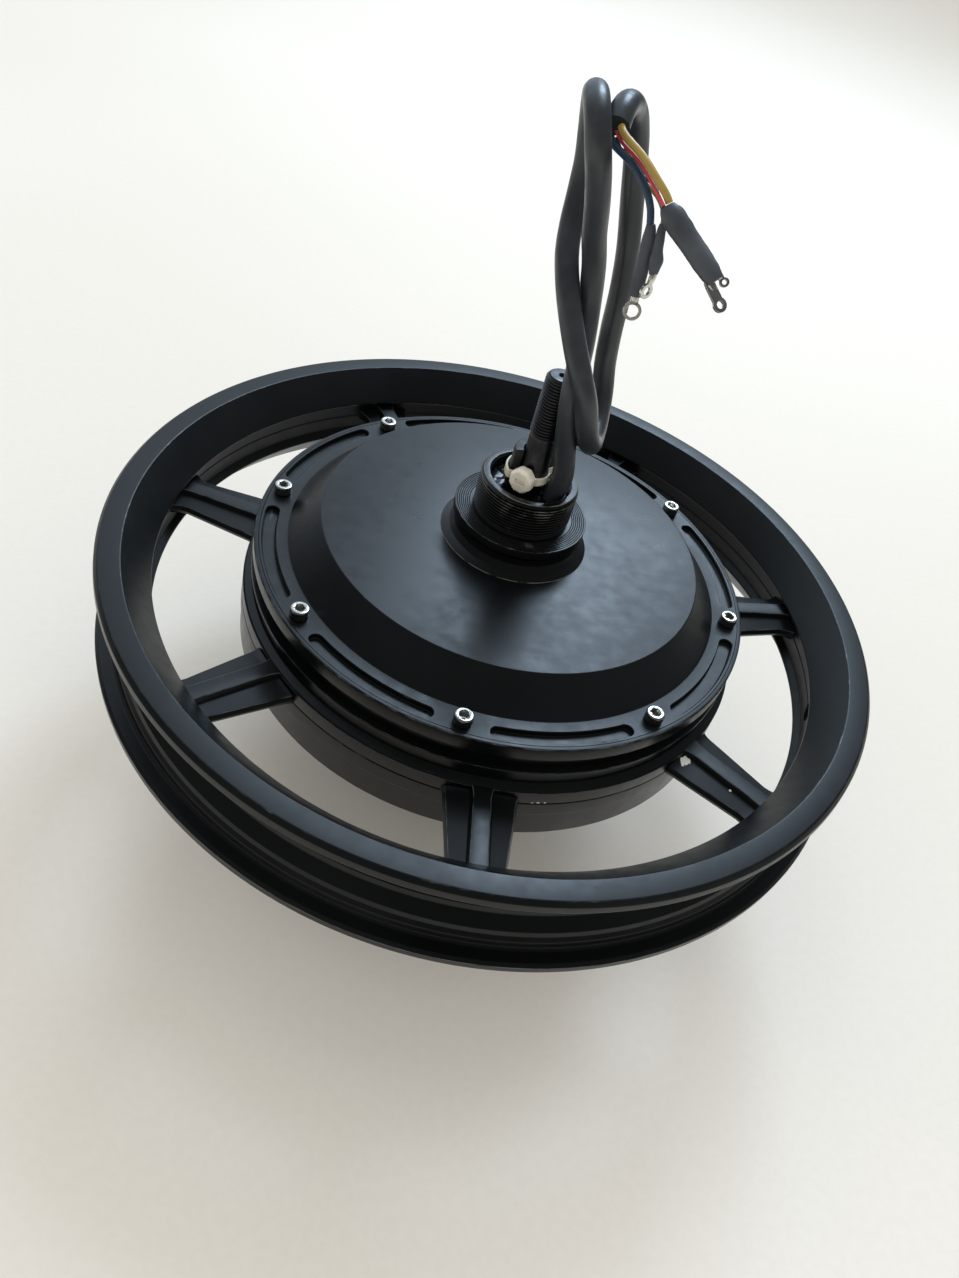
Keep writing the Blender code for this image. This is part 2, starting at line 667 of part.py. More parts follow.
def build_tie(nylon):
    """Cable tie: strap hugging the axle and its boot, with the head at the front."""
    z0 = 67.6
    z1 = 71.2
    inner = [(phi, 5.75) for phi in (-32.0, -12.0, 8.0, 28.0, 48.0, 68.0, 88.0, 108.0, 128.0)]
    inner.append((138.0, 6.4))
    inner += [(phi, 10.0) for phi in (149.0, 166.0, 184.0, 202.0, 220.0, 238.0, 256.0, 274.0,
                                      292.0, 306.0, 319.0)]
    angles = [bundle_angle(phi) for phi, _ in inner]
    bm = bmesh.new()
    rows = []
    for (phi, r), angle in zip(inner, angles):
        rows.append([bm.verts.new(polar(rr, angle, zz))
                     for rr, zz in ((r, z0), (r + 0.75, z0), (r + 0.75, z1), (r, z1))])
    for a, b in zip(rows, rows[1:] + rows[:1]):
        for i in range(4):
            j = (i + 1) % 4
            bm.faces.new((a[i], b[i], b[j], a[j]))
    add_object("cable_tie_strap", bm, nylon)
    angle = bundle_angle(108.0)
    centre = Vector(polar(9.6, angle, 70.6))
    out = Vector(polar(1.0, angle))
    across = Vector((-out.y, out.x, 0.0))
    up = Vector((0.0, 0.0, 1.0))
    loops = []
    for depth, scale in ((-2.6, 0.92), (-1.6, 1.0), (1.2, 1.0), (2.2, 0.82)):
        loop = []
        for k in range(8):
            t = math.radians(45.0 * k + 22.5)
            loop.append(centre + out * depth + across * (4.3 * scale * math.cos(t))
                        + up * (4.4 * scale * math.sin(t)))
        loops.append(loop)
    add_object("cable_tie_head", loft(loops), nylon)


def tube_between(name, stations, mat, sides=12, flat=1.0):
    """Solid lofted through (front, side, height, half width) stations."""
    pts = [bundle_point(*s[:3]) for s in stations]
    loops = []
    for n, s in enumerate(stations):
        ahead = pts[min(n + 1, len(pts) - 1)] - pts[max(n - 1, 0)]
        loops.append(ring_about(pts[n], ahead, s[3], s[3] * flat, sides))
    add_object(name, loft(loops), mat)


def ring_lug(name, base, heading, normal_hint, mat, neck=1.2, radius=3.0, hole=1.6, half=1.2):
    """Crimped ring terminal: a short neck running into a flat ring."""
    start = bundle_point(*base)
    along = bundle_point(*heading).normalized()
    across = along.cross(bundle_point(*normal_hint)).normalized()
    normal = across.cross(along).normalized()
    outline = [(0.0, half)]
    lead = math.asin(min(0.95, half / radius))
    centre = neck + radius * math.cos(lead)
    for k in range(9):
        a = math.pi - lead - (2 * math.pi - 2 * lead) * k / 8
        outline.append((centre + radius * math.cos(a), radius * math.sin(a)))
    outline.append((0.0, -half))
    loops = []
    for side in (-0.45, 0.45):
        loops.append([start + along * x + across * y + normal * side for x, y in outline])
    lug = add_object(name, loft(loops), mat)
    middle = start + along * centre
    frame = normal.to_track_quat("Z", "Y")
    loops = []
    for side in (-2.0, 2.0):
        loops.append([middle + normal * side + frame @ Vector(polar(hole, 36.0 * k))
                      for k in range(10)])
    combine(lug, loft(loops), "DIFFERENCE")
    tidy(lug)


def build_cable(jacket, colours, sleeve, tinned):
    cord("motor_cable", smooth_path(CABLE_ROUTE, 10.5), CABLE_DIAMETER, jacket, 2)
    for name, (diameter, route) in WIRE_ROUTES.items():
        step = 5.2 if diameter > 2.0 else 4.6
        cord(name, smooth_path(route, step), diameter, colours[name], 2)
    tube_between("sleeve_large", (
        (25.6, 14.2, 186.6, 2.3), (26.4, 15.8, 185.4, 3.4), (27.4, 18.4, 183.6, 3.8),
        (33.2, 31.6, 175.4, 3.3), (34.2, 34.0, 173.8, 2.6)), sleeve, 12, 0.8)
    tube_between("sleeve_blue", (
        (22.2, 11.9, 176.6, 1.9), (22.6, 12.2, 174.6, 2.1), (24.6, 13.0, 166.0, 2.1),
        (26.4, 13.8, 158.6, 1.9)), sleeve, 10, 0.9)
    tube_between("sleeve_yellow", (
        (23.8, 14.9, 178.6, 1.3), (24.2, 15.2, 176.6, 1.5), (25.0, 15.8, 173.6, 1.5),
        (25.6, 16.2, 171.4, 2.1), (26.2, 16.4, 169.4, 1.8), (27.0, 16.6, 166.8, 1.3)),
        sleeve, 10, 0.9)
    ring_lug("lug_left", (34.9, 33.2, 172.2), (2.0, 5.0, -4.4), (1.0, 0.2, 1.6), tinned,
             4.6, 2.3, 1.1)
    ring_lug("lug_right", (33.4, 35.2, 174.9), (0.8, 2.8, -1.7), (1.0, -0.3, 0.9), tinned,
             0.6, 1.9, 0.9, 0.9)
    ring_lug("lug_blue", (26.9, 14.0, 157.6), (0.5, 0.2, -2.2), (1.0, 0.0, 0.9), tinned,
             0.5, 2.9, 1.9)
    ring_lug("lug_yellow", (27.4, 16.7, 165.6), (0.8, -0.4, -3.0), (0.8, 0.9, 0.3), tinned,
             1.4, 2.4, 1.2, 1.0)


def main():
    clear_scene()
    paint = material("black_paint", (0.018, 0.020, 0.023), 0.0, 0.42)
    nickel = material("nickel_steel", (0.72, 0.70, 0.66), 1.0, 0.25)
    steel = material("dark_steel", (0.20, 0.20, 0.21), 1.0, 0.38)
    magnet = material("nickel_magnet", (0.55, 0.55, 0.55), 1.0, 0.30)
    lamination = material("lamination_steel", (0.35, 0.34, 0.33), 1.0, 0.45)
    copper = material("enamelled_copper", (0.60, 0.24, 0.09), 1.0, 0.35)
    alloy = material("cast_alloy", (0.55, 0.55, 0.56), 1.0, 0.50)
    brass = material("bearing_brass", (0.70, 0.52, 0.22), 1.0, 0.35)
    rubber = material("black_rubber", (0.015, 0.015, 0.016), 0.0, 0.60)
    jacket = material("cable_jacket", (0.012, 0.012, 0.013), 0.0, 0.35)
    sleeve = material("shrink_sleeve", (0.016, 0.017, 0.019), 0.0, 0.45)
    nylon = material("natural_nylon", (0.80, 0.77, 0.68), 0.0, 0.40)
    tinned = material("tinned_copper", (0.75, 0.74, 0.71), 1.0, 0.28)
    colours = {
        "wire_yellow": material("yellow_insulation", (0.72, 0.50, 0.10), 0.0, 0.45),
        "wire_blue": material("blue_insulation", (0.05, 0.13, 0.26), 0.0, 0.45),
        "wire_red": material("red_insulation", (0.70, 0.06, 0.06), 0.0, 0.45),
        "wire_green": material("green_insulation", (0.03, 0.30, 0.18), 0.0, 0.45),
        "wire_thin_yellow": material("pale_yellow_insulation", (0.62, 0.52, 0.20), 0.0, 0.45),
    }
    build_wheel(paint)
    build_front_cover(paint)
    build_rear_cover(paint)
    build_screws(nickel)
    build_rotor(steel, magnet)
    build_stator(lamination, copper, alloy)
    build_bearings(steel, brass, rubber)
    build_axle(steel)
    build_sleeve(rubber)
    build_potting(rubber)
    build_tie(nylon)
    build_cable(jacket, colours, sleeve, tinned)


main()
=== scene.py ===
"""Looks of the hub motor wheel: fine meshes, procedural finishes, a pale studio and the camera.

Shapes are drawn in millimetres round the axle line and written in metres, in the CAD's frame.
"""
import math

import bmesh
import bpy
import numpy as np
from mathutils import Matrix, Vector, noise


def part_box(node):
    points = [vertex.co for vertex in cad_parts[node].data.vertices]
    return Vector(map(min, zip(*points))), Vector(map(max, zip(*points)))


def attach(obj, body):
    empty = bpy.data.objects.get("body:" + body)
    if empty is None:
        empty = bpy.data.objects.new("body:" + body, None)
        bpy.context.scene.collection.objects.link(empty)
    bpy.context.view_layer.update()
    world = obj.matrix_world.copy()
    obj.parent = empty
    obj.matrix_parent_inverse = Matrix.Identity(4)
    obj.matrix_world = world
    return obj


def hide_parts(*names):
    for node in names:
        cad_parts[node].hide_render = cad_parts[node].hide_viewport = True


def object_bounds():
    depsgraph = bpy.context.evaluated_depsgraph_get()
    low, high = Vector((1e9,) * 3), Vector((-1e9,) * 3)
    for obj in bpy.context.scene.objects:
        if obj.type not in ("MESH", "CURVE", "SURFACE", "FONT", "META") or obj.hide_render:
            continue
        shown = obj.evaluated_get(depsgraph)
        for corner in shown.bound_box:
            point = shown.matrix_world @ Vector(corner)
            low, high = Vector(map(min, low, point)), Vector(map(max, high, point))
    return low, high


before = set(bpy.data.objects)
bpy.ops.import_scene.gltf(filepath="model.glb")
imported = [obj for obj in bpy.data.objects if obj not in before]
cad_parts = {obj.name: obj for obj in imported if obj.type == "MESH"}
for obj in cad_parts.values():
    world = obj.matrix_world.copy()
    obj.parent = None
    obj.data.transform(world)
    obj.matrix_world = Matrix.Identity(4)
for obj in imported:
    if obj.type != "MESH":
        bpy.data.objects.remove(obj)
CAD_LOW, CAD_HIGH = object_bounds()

MM = 0.001
STATOR = "stator_assembly"
WHEEL = "wheel_assembly"


def top_of(node):
    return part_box(node)[1].z / MM


def bottom_of(node):
    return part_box(node)[0].z / MM


# screw lengths and the gap left under the front and rear faces they sit on, in millimetres
FRONT_SCREW_LENGTH = 19.0
REAR_SCREW_LENGTH = 24.6
SEAT_GAP = 0.3

# sizes read from the frame, in millimetres
RIM_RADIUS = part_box("wheel_casting")[1].x / MM
RIM_HALF_WIDTH = top_of("wheel_casting")
COVER_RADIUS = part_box("front_cover")[1].x / MM
BOSS_TOP = top_of("front_cover")
REAR_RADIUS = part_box("rear_cover")[1].x / MM
REAR_BOSS_END = bottom_of("rear_cover")
AXLE_END = top_of("axle")
SCREW_SEAT = bottom_of("front_cover_screw_1") + FRONT_SCREW_LENGTH
REAR_SCREW_SEAT = top_of("rear_cover_screw_1") - REAR_SCREW_LENGTH
SCREW_HEAD_HEIGHT = top_of("front_cover_screw_1") - SCREW_SEAT

# wheel casting
DRUM_RADIUS = 103.8
DRUM_BORE = 91.0
DRUM_TOP = 13.1
DRUM_BOTTOM = -0.8
SPOKE_COUNT = 7
SPOKE_FIRST_ANGLE = -99.3
SPOKE_RIB_TOP = 5.5
VALVE_ANGLE = -20.5
VALVE_HOLE_RADIUS = 4.1

# covers and screws
COVER_TOP = SCREW_SEAT - SEAT_GAP
PLATEAU_TOP = 39.1
BOSS_SHOULDER = 51.6
THREAD_RADIUS = 19.3
BOSS_THREAD_START = 52.2
BOSS_THREAD_PITCH = 1.27
BOSS_RINGS = 7
BOSS_RING_STEP = 0.8
REAR_FACE = REAR_SCREW_SEAT + SEAT_GAP
REAR_PLATEAU = -33.3
SCREW_COUNT = 8
FRONT_SCREW_ANGLE = 28.04
REAR_SCREW_ANGLE = 17.0
SCREW_PITCH_RADIUS = 94.7
SCREW_HEAD_RADIUS = 3.5
SOCKET_HALF_WIDTH = 1.65
SLOT_RADIUS = 95.5
SLOT_WIDTH = 5.2
SLOT_HALF_ANGLE = 16.3
SLOT_DEPTH = 2.3

# axle
AXLE_THREAD_RADIUS = 5.9
AXLE_NECK_RADIUS = 5.4
AXLE_THREAD_START = 87.0
AXLE_THREAD_PITCH = 1.25

# resin and cable tie
RESIN_LEVEL = 61.9
RESIN_FOOT = 58.0
RESIN_SIDES = 96
TIE_BOTTOM = 67.6
TIE_TOP = 71.2
TIE_HEAD_HALF_WIDTH = 4.9
TIE_HEAD_HALF_HEIGHT = 5.2

# cable bundle: FRONT and SIDE are the level directions the loops are laid out in
FRONT = (-0.31990, -0.94745)
SIDE = (0.94745, -0.31990)
CABLE_DIAMETER = 8.2

# (front, side, height)
CABLE_ROUTE = (
    (0.5, 9.6, 50.0), (0.6, 9.7, 58.0), (1.8, 10.2, 65.5), (3.5, 11.2, 71.0),
    (5.8, 10.7, 78.5), (7.8, 8.8, 87.6), (9.0, 6.9, 98.0), (9.3, 5.5, 106.5),
    (8.8, 4.6, 113.0), (5.9, 3.9, 120.6), (3.0, 3.1, 128.0), (-0.6, 0.9, 141.0),
    (0.5, -1.3, 153.4), (5.0, -4.0, 164.6), (10.4, -6.2, 177.4), (13.8, -8.4, 186.8),
    (15.4, -10.4, 193.4), (13.9, -12.4, 199.0), (9.2, -14.3, 202.5), (2.0, -15.8, 203.4),
    (-6.0, -16.5, 201.2), (-13.0, -16.4, 196.0), (-17.2, -15.4, 188.0), (-18.2, -14.0, 178.5),
    (-16.0, -13.3, 169.0), (-11.0, -12.6, 159.8), (-4.0, -11.0, 152.6), (4.4, -6.6, 143.2),
    (10.6, 0.0, 131.0), (15.0, 5.8, 121.5), (16.0, 10.4, 112.7), (14.6, 13.0, 104.5),
    (11.6, 15.0, 98.0), (5.5, 16.8, 92.2), (-3.5, 17.6, 89.4), (-13.0, 17.4, 92.1),
    (-19.4, 16.0, 99.5), (-22.0, 13.4, 110.5), (-22.2, 11.6, 124.0), (-22.0, 10.4, 138.0),
    (-22.0, 8.2, 152.8), (-22.0, 4.6, 168.0), (-21.4, 1.4, 181.5), (-19.4, -0.8, 190.0),
    (-15.5, -2.9, 196.4), (-10.0, -4.8, 200.3), (-4.0, -6.2, 201.7), (2.0, -7.0, 200.7),
    (6.4, -7.2, 198.0),
)
WIRE_ROUTES = {
    "wire_yellow": (2.3, (
        (8.2, -5.7, 198.7), (11.0, -4.2, 197.8), (18.0, 3.2, 195.4), (22.4, 9.0, 192.0),
        (24.0, 12.6, 189.4), (24.6, 14.3, 187.6))),
    "wire_blue": (2.3, (
        (6.4, -8.4, 196.0), (8.8, -7.2, 194.2), (15.4, 0.4, 192.0), (18.6, 6.0, 188.2),
        (20.6, 9.6, 183.4), (22.0, 11.6, 177.6))),
    "wire_red": (1.2, (
        (7.6, -6.7, 196.9), (10.2, -4.4, 195.4), (16.2, 2.4, 193.4), (22.2, 8.8, 189.6),
        (26.2, 13.0, 186.7))),
    "wire_green": (1.2, (
        (6.1, -6.2, 194.8), (9.4, -3.6, 192.4), (14.2, 2.6, 189.8), (18.4, 8.4, 189.2),
        (22.4, 11.0, 187.4), (24.9, 13.0, 185.8))),
    "wire_thin_yellow": (1.5, (
        (7.1, -4.5, 196.2), (9.2, -1.2, 192.0), (12.0, 4.2, 188.0), (18.0, 11.0, 185.8),
        (22.0, 14.0, 183.0), (23.4, 14.7, 179.6))),
}


# ---------------------------------------------------------------- shape helpers

def polar(radius, degrees, z=0.0):
    angle = math.radians(degrees)
    return Vector((radius * math.cos(angle), radius * math.sin(angle), z))


def around(count, first):
    return [first + 360.0 * k / count for k in range(count)]


def bundle_point(front, side, height):
    return Vector((FRONT[0] * front + SIDE[0] * side, FRONT[1] * front + SIDE[1] * side, height))


def bundle_angle(degrees):
    """World angle of a direction measured from SIDE towards FRONT."""
    a = math.radians(degrees)
    x = SIDE[0] * math.cos(a) + FRONT[0] * math.sin(a)
    y = SIDE[1] * math.cos(a) + FRONT[1] * math.sin(a)
    return math.degrees(math.atan2(y, x))


def smooth_rows(rows, step):
    """Even rows along a centripetal Catmull-Rom curve; the first three columns are the place."""
    pts = [np.array(r, dtype=float) for r in rows]
    pts = [2 * pts[0] - pts[1]] + pts + [2 * pts[-1] - pts[-2]]
    dense = []
    for p0, p1, p2, p3 in zip(pts, pts[1:], pts[2:], pts[3:]):
        t0 = 0.0
        t1 = t0 + np.linalg.norm((p1 - p0)[:3]) ** 0.5
        t2 = t1 + np.linalg.norm((p2 - p1)[:3]) ** 0.5
        t3 = t2 + np.linalg.norm((p3 - p2)[:3]) ** 0.5
        for t in np.linspace(t1, t2, 24, endpoint=False):
            a1 = (t1 - t) / (t1 - t0) * p0 + (t - t0) / (t1 - t0) * p1
            a2 = (t2 - t) / (t2 - t1) * p1 + (t - t1) / (t2 - t1) * p2
            a3 = (t3 - t) / (t3 - t2) * p2 + (t - t2) / (t3 - t2) * p3
            b1 = (t2 - t) / (t2 - t0) * a1 + (t - t0) / (t2 - t0) * a2
            b2 = (t3 - t) / (t3 - t1) * a2 + (t - t1) / (t3 - t1) * a3
            dense.append((t2 - t) / (t2 - t1) * b1 + (t - t1) / (t2 - t1) * b2)
    dense.append(pts[-2])
    dense = np.array(dense)
    run = np.concatenate([[0.0], np.cumsum(np.linalg.norm(np.diff(dense[:, :3], axis=0), axis=1))])
    even = np.linspace(0.0, run[-1], max(3, int(round(run[-1] / step)) + 1))
    return np.stack([np.interp(even, run, dense[:, i]) for i in range(dense.shape[1])], axis=1)


def smooth_path(route, step):
    return [Vector(p) for p in smooth_rows([bundle_point(*p) for p in route], step)]


def rounded(corners, steps=4):
    """Closed outline with each (x, y, radius, wear) corner turned into an arc of (x, y, wear).

    The fourth value marks rubbed edges, and on the boss foot's lip a painted highlight line; it peaks
    in the middle of an arc, and an optional fifth value is its least all along it.
    """
    out = []
    count = len(corners)
    for i, corner in enumerate(corners):
        x, y, radius, wear_and_highlight = corner[:4]
        flat = corner[4] if len(corner) > 4 else 0.0
        here = Vector((x, y))
        back = Vector(corners[i - 1][:2]) - here
        ahead = Vector(corners[(i + 1) % count][:2]) - here
        if radius <= 0.0:
            out.append((x, y, max(wear_and_highlight, flat)))
            continue
        half = max(0.05, back.angle(ahead) / 2)
        if half > 1.5:
            out.append((x, y, max(wear_and_highlight, flat)))
            continue
        reach = min(radius / math.tan(half), 0.45 * back.length, 0.45 * ahead.length)
        radius = reach * math.tan(half)
        start = here + back.normalized() * reach
        end = here + ahead.normalized() * reach
        centre = here + (back.normalized() + ahead.normalized()).normalized() * radius / math.sin(half)
        for k in range(steps + 1):
            t = k / steps
            ray = (start - centre).lerp(end - centre, t).normalized()
            p = centre + ray * radius
            out.append((p.x, p.y, max(flat, wear_and_highlight * math.sin(math.pi * t))))
    return out


def lathe_mesh(outline, segments):
    """Closed (radius, height, wear) outline turned about Z."""
    bm = bmesh.new()
    layer = bm.verts.layers.float.new("wear_and_highlight")
    columns = []
    for k in range(segments):
        angle = 2 * math.pi * k / segments
        column = []
        for r, z, wear_and_highlight in outline:
            vert = bm.verts.new((r * math.cos(angle), r * math.sin(angle), z))
            vert[layer] = wear_and_highlight
            column.append(vert)
        columns.append(column)
    count = len(outline)
    for k in range(segments):
        a = columns[k]
        b = columns[(k + 1) % segments]
        for i in range(count):
            j = (i + 1) % count
            bm.faces.new((a[i], b[i], b[j], a[j]))
    return bm


def loft(loops, wear_and_highlight=None):
    """Solid through closed loops of equal length, capped at both ends."""
    bm = bmesh.new()
    layer = bm.verts.layers.float.new("wear_and_highlight")
    rows = [[bm.verts.new(p) for p in loop] for loop in loops]
    if wear_and_highlight is not None:
        for row in rows:
            for vert, value in zip(row, wear_and_highlight):
                vert[layer] = value
    for a, b in zip(rows, rows[1:]):
        for i in range(len(a)):
            j = (i + 1) % len(a)
            bm.faces.new((a[i], a[j], b[j], b[i]))
    bm.faces.new(rows[0])
    bm.faces.new(list(reversed(rows[-1])))
    return bm


def helix_mesh(root, crest, low, high, pitch, segments, worn_top):
    """Screw thread as one winding strip, trimmed flat at both ends.

    worn_top is how much more the crests are rubbed towards the high end.
    """
    bm = bmesh.new()
    layer = bm.verts.layers.float.new("wear_and_highlight")
    turns = int(math.ceil((high - low) / pitch)) + 2
    shape = [0.0, 0.12, 0.55, 0.95, 1.0, 0.95, 0.55, 0.12]
    rows_per_turn = len(shape)
    rows = []
    for k in range(segments + 1):
        angle = 2 * math.pi * k / segments
        row = []
        for j in range(turns * rows_per_turn + 1):
            z = low + pitch * (j / rows_per_turn - 2.0 + k / segments)
            z = min(high, max(low, z))
            fade = min(1.0, (z - low) / (0.6 * pitch), (high - z) / (0.9 * pitch))
            lift = shape[j % rows_per_turn] * max(0.0, fade)
            r = root + (crest - root) * lift
            vert = bm.verts.new((r * math.cos(angle), r * math.sin(angle), z))
            upper = (z - low) / (high - low)
            vert[layer] = max(0.0, lift - 0.75) * 4.0 * (0.35 + 0.65 * worn_top * upper ** 3)
            row.append(vert)
        rows.append(row)
    for a, b in zip(rows, rows[1:]):
        for j in range(len(a) - 1):
            bm.faces.new((a[j], b[j], b[j + 1], a[j + 1]))
    bmesh.ops.remove_doubles(bm, verts=bm.verts[:], dist=0.001)
    return bm


def ring_about(point, ahead, width, height, sides):
    """Ellipse of points round a path point, kept free of twist by one fixed direction."""
    axis = ahead.normalized()
    one = axis.cross(Vector((0.9, -0.3, 0.1))).normalized()
    two = axis.cross(one)
    ring = []
    for k in range(sides):
        a = 2 * math.pi * k / sides
        ring.append(point + one * (width * math.cos(a)) + two * (height * math.sin(a)))
    return ring


def piece(name, bm, mat, body, stands_for=(), sharp=40.0):
    """Write a millimetre bmesh as a finished piece that rides on a body."""
    bmesh.ops.recalc_face_normals(bm, faces=bm.faces[:])
    bmesh.ops.scale(bm, vec=(MM, MM, MM), verts=bm.verts[:])
    mesh = bpy.data.meshes.new(name)
    bm.to_mesh(mesh)
    bm.free()
    obj = bpy.data.objects.new(name, mesh)
    bpy.context.scene.collection.objects.link(obj)
    mesh.materials.append(mat)
    for face in mesh.polygons:
        face.use_smooth = True
    mesh.set_sharp_from_angle(angle=math.radians(sharp))
    if body:
        finish_piece(obj, body, stands_for)
    return obj


def finish_piece(obj, body, stands_for=()):
    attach(obj, body)
    if stands_for:
        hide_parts(*([stands_for] if isinstance(stands_for, str) else stands_for))


def cut(obj, bm):
    """Apply one exact boolean difference with a millimetre bmesh."""
    tool = piece("tool", bm, obj.data.materials[0], None)
    mod = obj.modifiers.new("cut", "BOOLEAN")
    mod.operation = "DIFFERENCE"
    mod.solver = "EXACT"
    mod.object = tool
    graph = bpy.context.evaluated_depsgraph_get()
    mesh = bpy.data.meshes.new_from_object(obj.evaluated_get(graph))
    obj.modifiers.clear()
    obj.data = mesh
    bpy.data.objects.remove(tool, do_unlink=True)
    mesh.set_sharp_from_angle(angle=math.radians(40.0))


def curve_tube(name, points, diameter, mat, resolution):
    curve = bpy.data.curves.new(name, "CURVE")
    curve.dimensions = "3D"
    curve.fill_mode = "FULL"
    curve.bevel_depth = diameter / 2 * MM
    curve.bevel_resolution = resolution
    curve.use_fill_caps = True
    spline = curve.splines.new("POLY")
    spline.points.add(len(points) - 1)
    for target, point in zip(spline.points, points):
        target.co = (point.x * MM, point.y * MM, point.z * MM, 1.0)
        target.radius = 1.0
    spline.use_smooth = True
    curve.materials.append(mat)
    obj = bpy.data.objects.new(name, curve)
    bpy.context.scene.collection.objects.link(obj)
    return obj


def soften(obj, width):
    mod = obj.modifiers.new("soft edges", "BEVEL")
    mod.width = width * MM
    mod.segments = 2
    mod.limit_method = "ANGLE"
    mod.angle_limit = math.radians(35.0)


# ---------------------------------------------------------------- material helpers

class Finish:
    """One Principled material with short calls for its procedural nodes."""

    def __init__(self, name, colour, roughness, metallic=0.0):
        self.mat = bpy.data.materials.new(name)
        self.mat.use_nodes = True
        self.nodes = self.mat.node_tree.nodes
        self.links = self.mat.node_tree.links
        self.shader = self.nodes["Principled BSDF"]
        self.set("Base Color", (*colour, 1.0))
        self.set("Roughness", roughness)
        self.set("Metallic", metallic)
        self.coords = self.nodes.new("ShaderNodeTexCoord").outputs["Object"]

    def set(self, socket, value):
        self.shader.inputs[socket].default_value = value

    def drive(self, socket, output):
        self.links.new(output, self.shader.inputs[socket])

    def put(self, socket, value):
        if isinstance(value, bpy.types.NodeSocket):
            self.links.new(value, socket)
        else:
            socket.default_value = value

    def stretched(self, scale):
        node = self.nodes.new("ShaderNodeMapping")
        node.inputs["Scale"].default_value = scale
        self.links.new(self.coords, node.inputs["Vector"])
        return node.outputs["Vector"]

    def noise(self, scale, detail=4.0, rough=0.55, coords=None):
        node = self.nodes.new("ShaderNodeTexNoise")
        self.links.new(coords or self.coords, node.inputs["Vector"])
        node.inputs["Scale"].default_value = scale
        node.inputs["Detail"].default_value = detail
        node.inputs["Roughness"].default_value = rough
        return node.outputs["Fac"]

    def wear_and_highlight(self):
        node = self.nodes.new("ShaderNodeAttribute")
        node.attribute_name = "wear_and_highlight"
        return node.outputs["Fac"]

    def maths(self, operation, a, b=0.5):
        node = self.nodes.new("ShaderNodeMath")
        node.operation = operation
        self.put(node.inputs[0], a)
        self.put(node.inputs[1], b)
        return node.outputs[0]

    def span(self, value, low, high, to_low=0.0, to_high=1.0):
        node = self.nodes.new("ShaderNodeMapRange")
        node.interpolation_type = "SMOOTHSTEP"
        self.put(node.inputs["Value"], value)
        node.inputs["From Min"].default_value = low
        node.inputs["From Max"].default_value = high
        node.inputs["To Min"].default_value = to_low
        node.inputs["To Max"].default_value = to_high
        return node.outputs["Result"]

    def blend(self, factor, a, b):
        node = self.nodes.new("ShaderNodeMix")
        node.data_type = "RGBA"
        self.put(node.inputs[0], factor)
        self.put(node.inputs[6], a if isinstance(a, bpy.types.NodeSocket) else (*a, 1.0))
        self.put(node.inputs[7], b if isinstance(b, bpy.types.NodeSocket) else (*b, 1.0))
        return node.outputs[2]

    def near(self, point, radius):
        """Ragged blob round a point in millimetres."""
        node = self.nodes.new("ShaderNodeVectorMath")
        node.operation = "DISTANCE"
        self.links.new(self.coords, node.inputs[0])
        node.inputs[1].default_value = Vector(point) * MM
        ragged = self.maths("MULTIPLY_ADD", self.noise(900.0, 3.0), radius * MM)
        ragged.node.inputs[2].default_value = 0.0
        reach = self.maths("SUBTRACT", self.maths("ADD", ragged, 0.45 * radius * MM),
                           node.outputs["Value"])
        return self.span(reach, 0.0, 0.00012)

    def bump(self, height, strength, distance):
        node = self.nodes.new("ShaderNodeBump")
        node.inputs["Strength"].default_value = strength
        node.inputs["Distance"].default_value = distance
        self.links.new(height, node.inputs["Height"])
        previous = self.shader.inputs["Normal"]
        if previous.is_linked:
            self.links.new(previous.links[0].from_socket, node.inputs["Normal"])
        self.links.new(node.outputs["Normal"], previous)


def painted(name, colour, roughness, grain=1.0, worn_and_highlight=(0.17, 0.18, 0.19), chips=()):
    """Satin black coat: faint orange peel, uneven sheen, dust and edges rubbed to metal; the rub mask
    also paints a pale highlight line where the per-vertex value marks one, on the boss foot's lip.
    """
    f = Finish(name, colour, roughness)
    broad = f.noise(9.0, 3.0)
    fine = f.noise(160.0, 5.0)
    tone = f.blend(f.span(broad, 0.3, 0.7), tuple(0.75 * c for c in colour),
                   tuple(1.35 * c for c in colour))
    dust = f.maths("MULTIPLY", f.span(f.noise(2600.0, 2.0), 0.73, 0.80), f.span(fine, 0.48, 0.64))
    tone = f.blend(f.maths("MULTIPLY", dust, 0.03), tone, (0.30, 0.29, 0.27))
    # rub mask: edges rubbed to bare metal, and on the boss foot's lip a painted highlight line, both
    # taken from the per-vertex value
    ragged = f.maths("ADD", f.wear_and_highlight(), f.maths("MULTIPLY", f.maths("SUBTRACT", fine, 0.5), 1.5))
    rub_and_highlight = f.maths("MULTIPLY", f.span(ragged, 0.42, 0.95), f.span(f.wear_and_highlight(), 0.02, 0.4))
    tone = f.blend(rub_and_highlight, tone, worn_and_highlight)
    for point, radius in chips:
        tone = f.blend(f.near(point, radius), tone, (0.62, 0.62, 0.60))
    f.drive("Base Color", tone)
    f.set("Specular IOR Level", 0.35)
    sheen = f.span(f.maths("ADD", f.maths("MULTIPLY", broad, 0.6), f.maths("MULTIPLY", fine, 0.4)),
                   0.32, 0.68, roughness - 0.07, roughness + 0.09)
    f.drive("Roughness", sheen)
    f.drive("Metallic", f.maths("MULTIPLY", rub_and_highlight, 0.65))
    f.bump(f.noise(1100.0, 3.0), 0.12 * grain, 0.00004)
    f.bump(f.noise(55.0, 3.0), 0.04 * grain, 0.00014)
    return f.mat


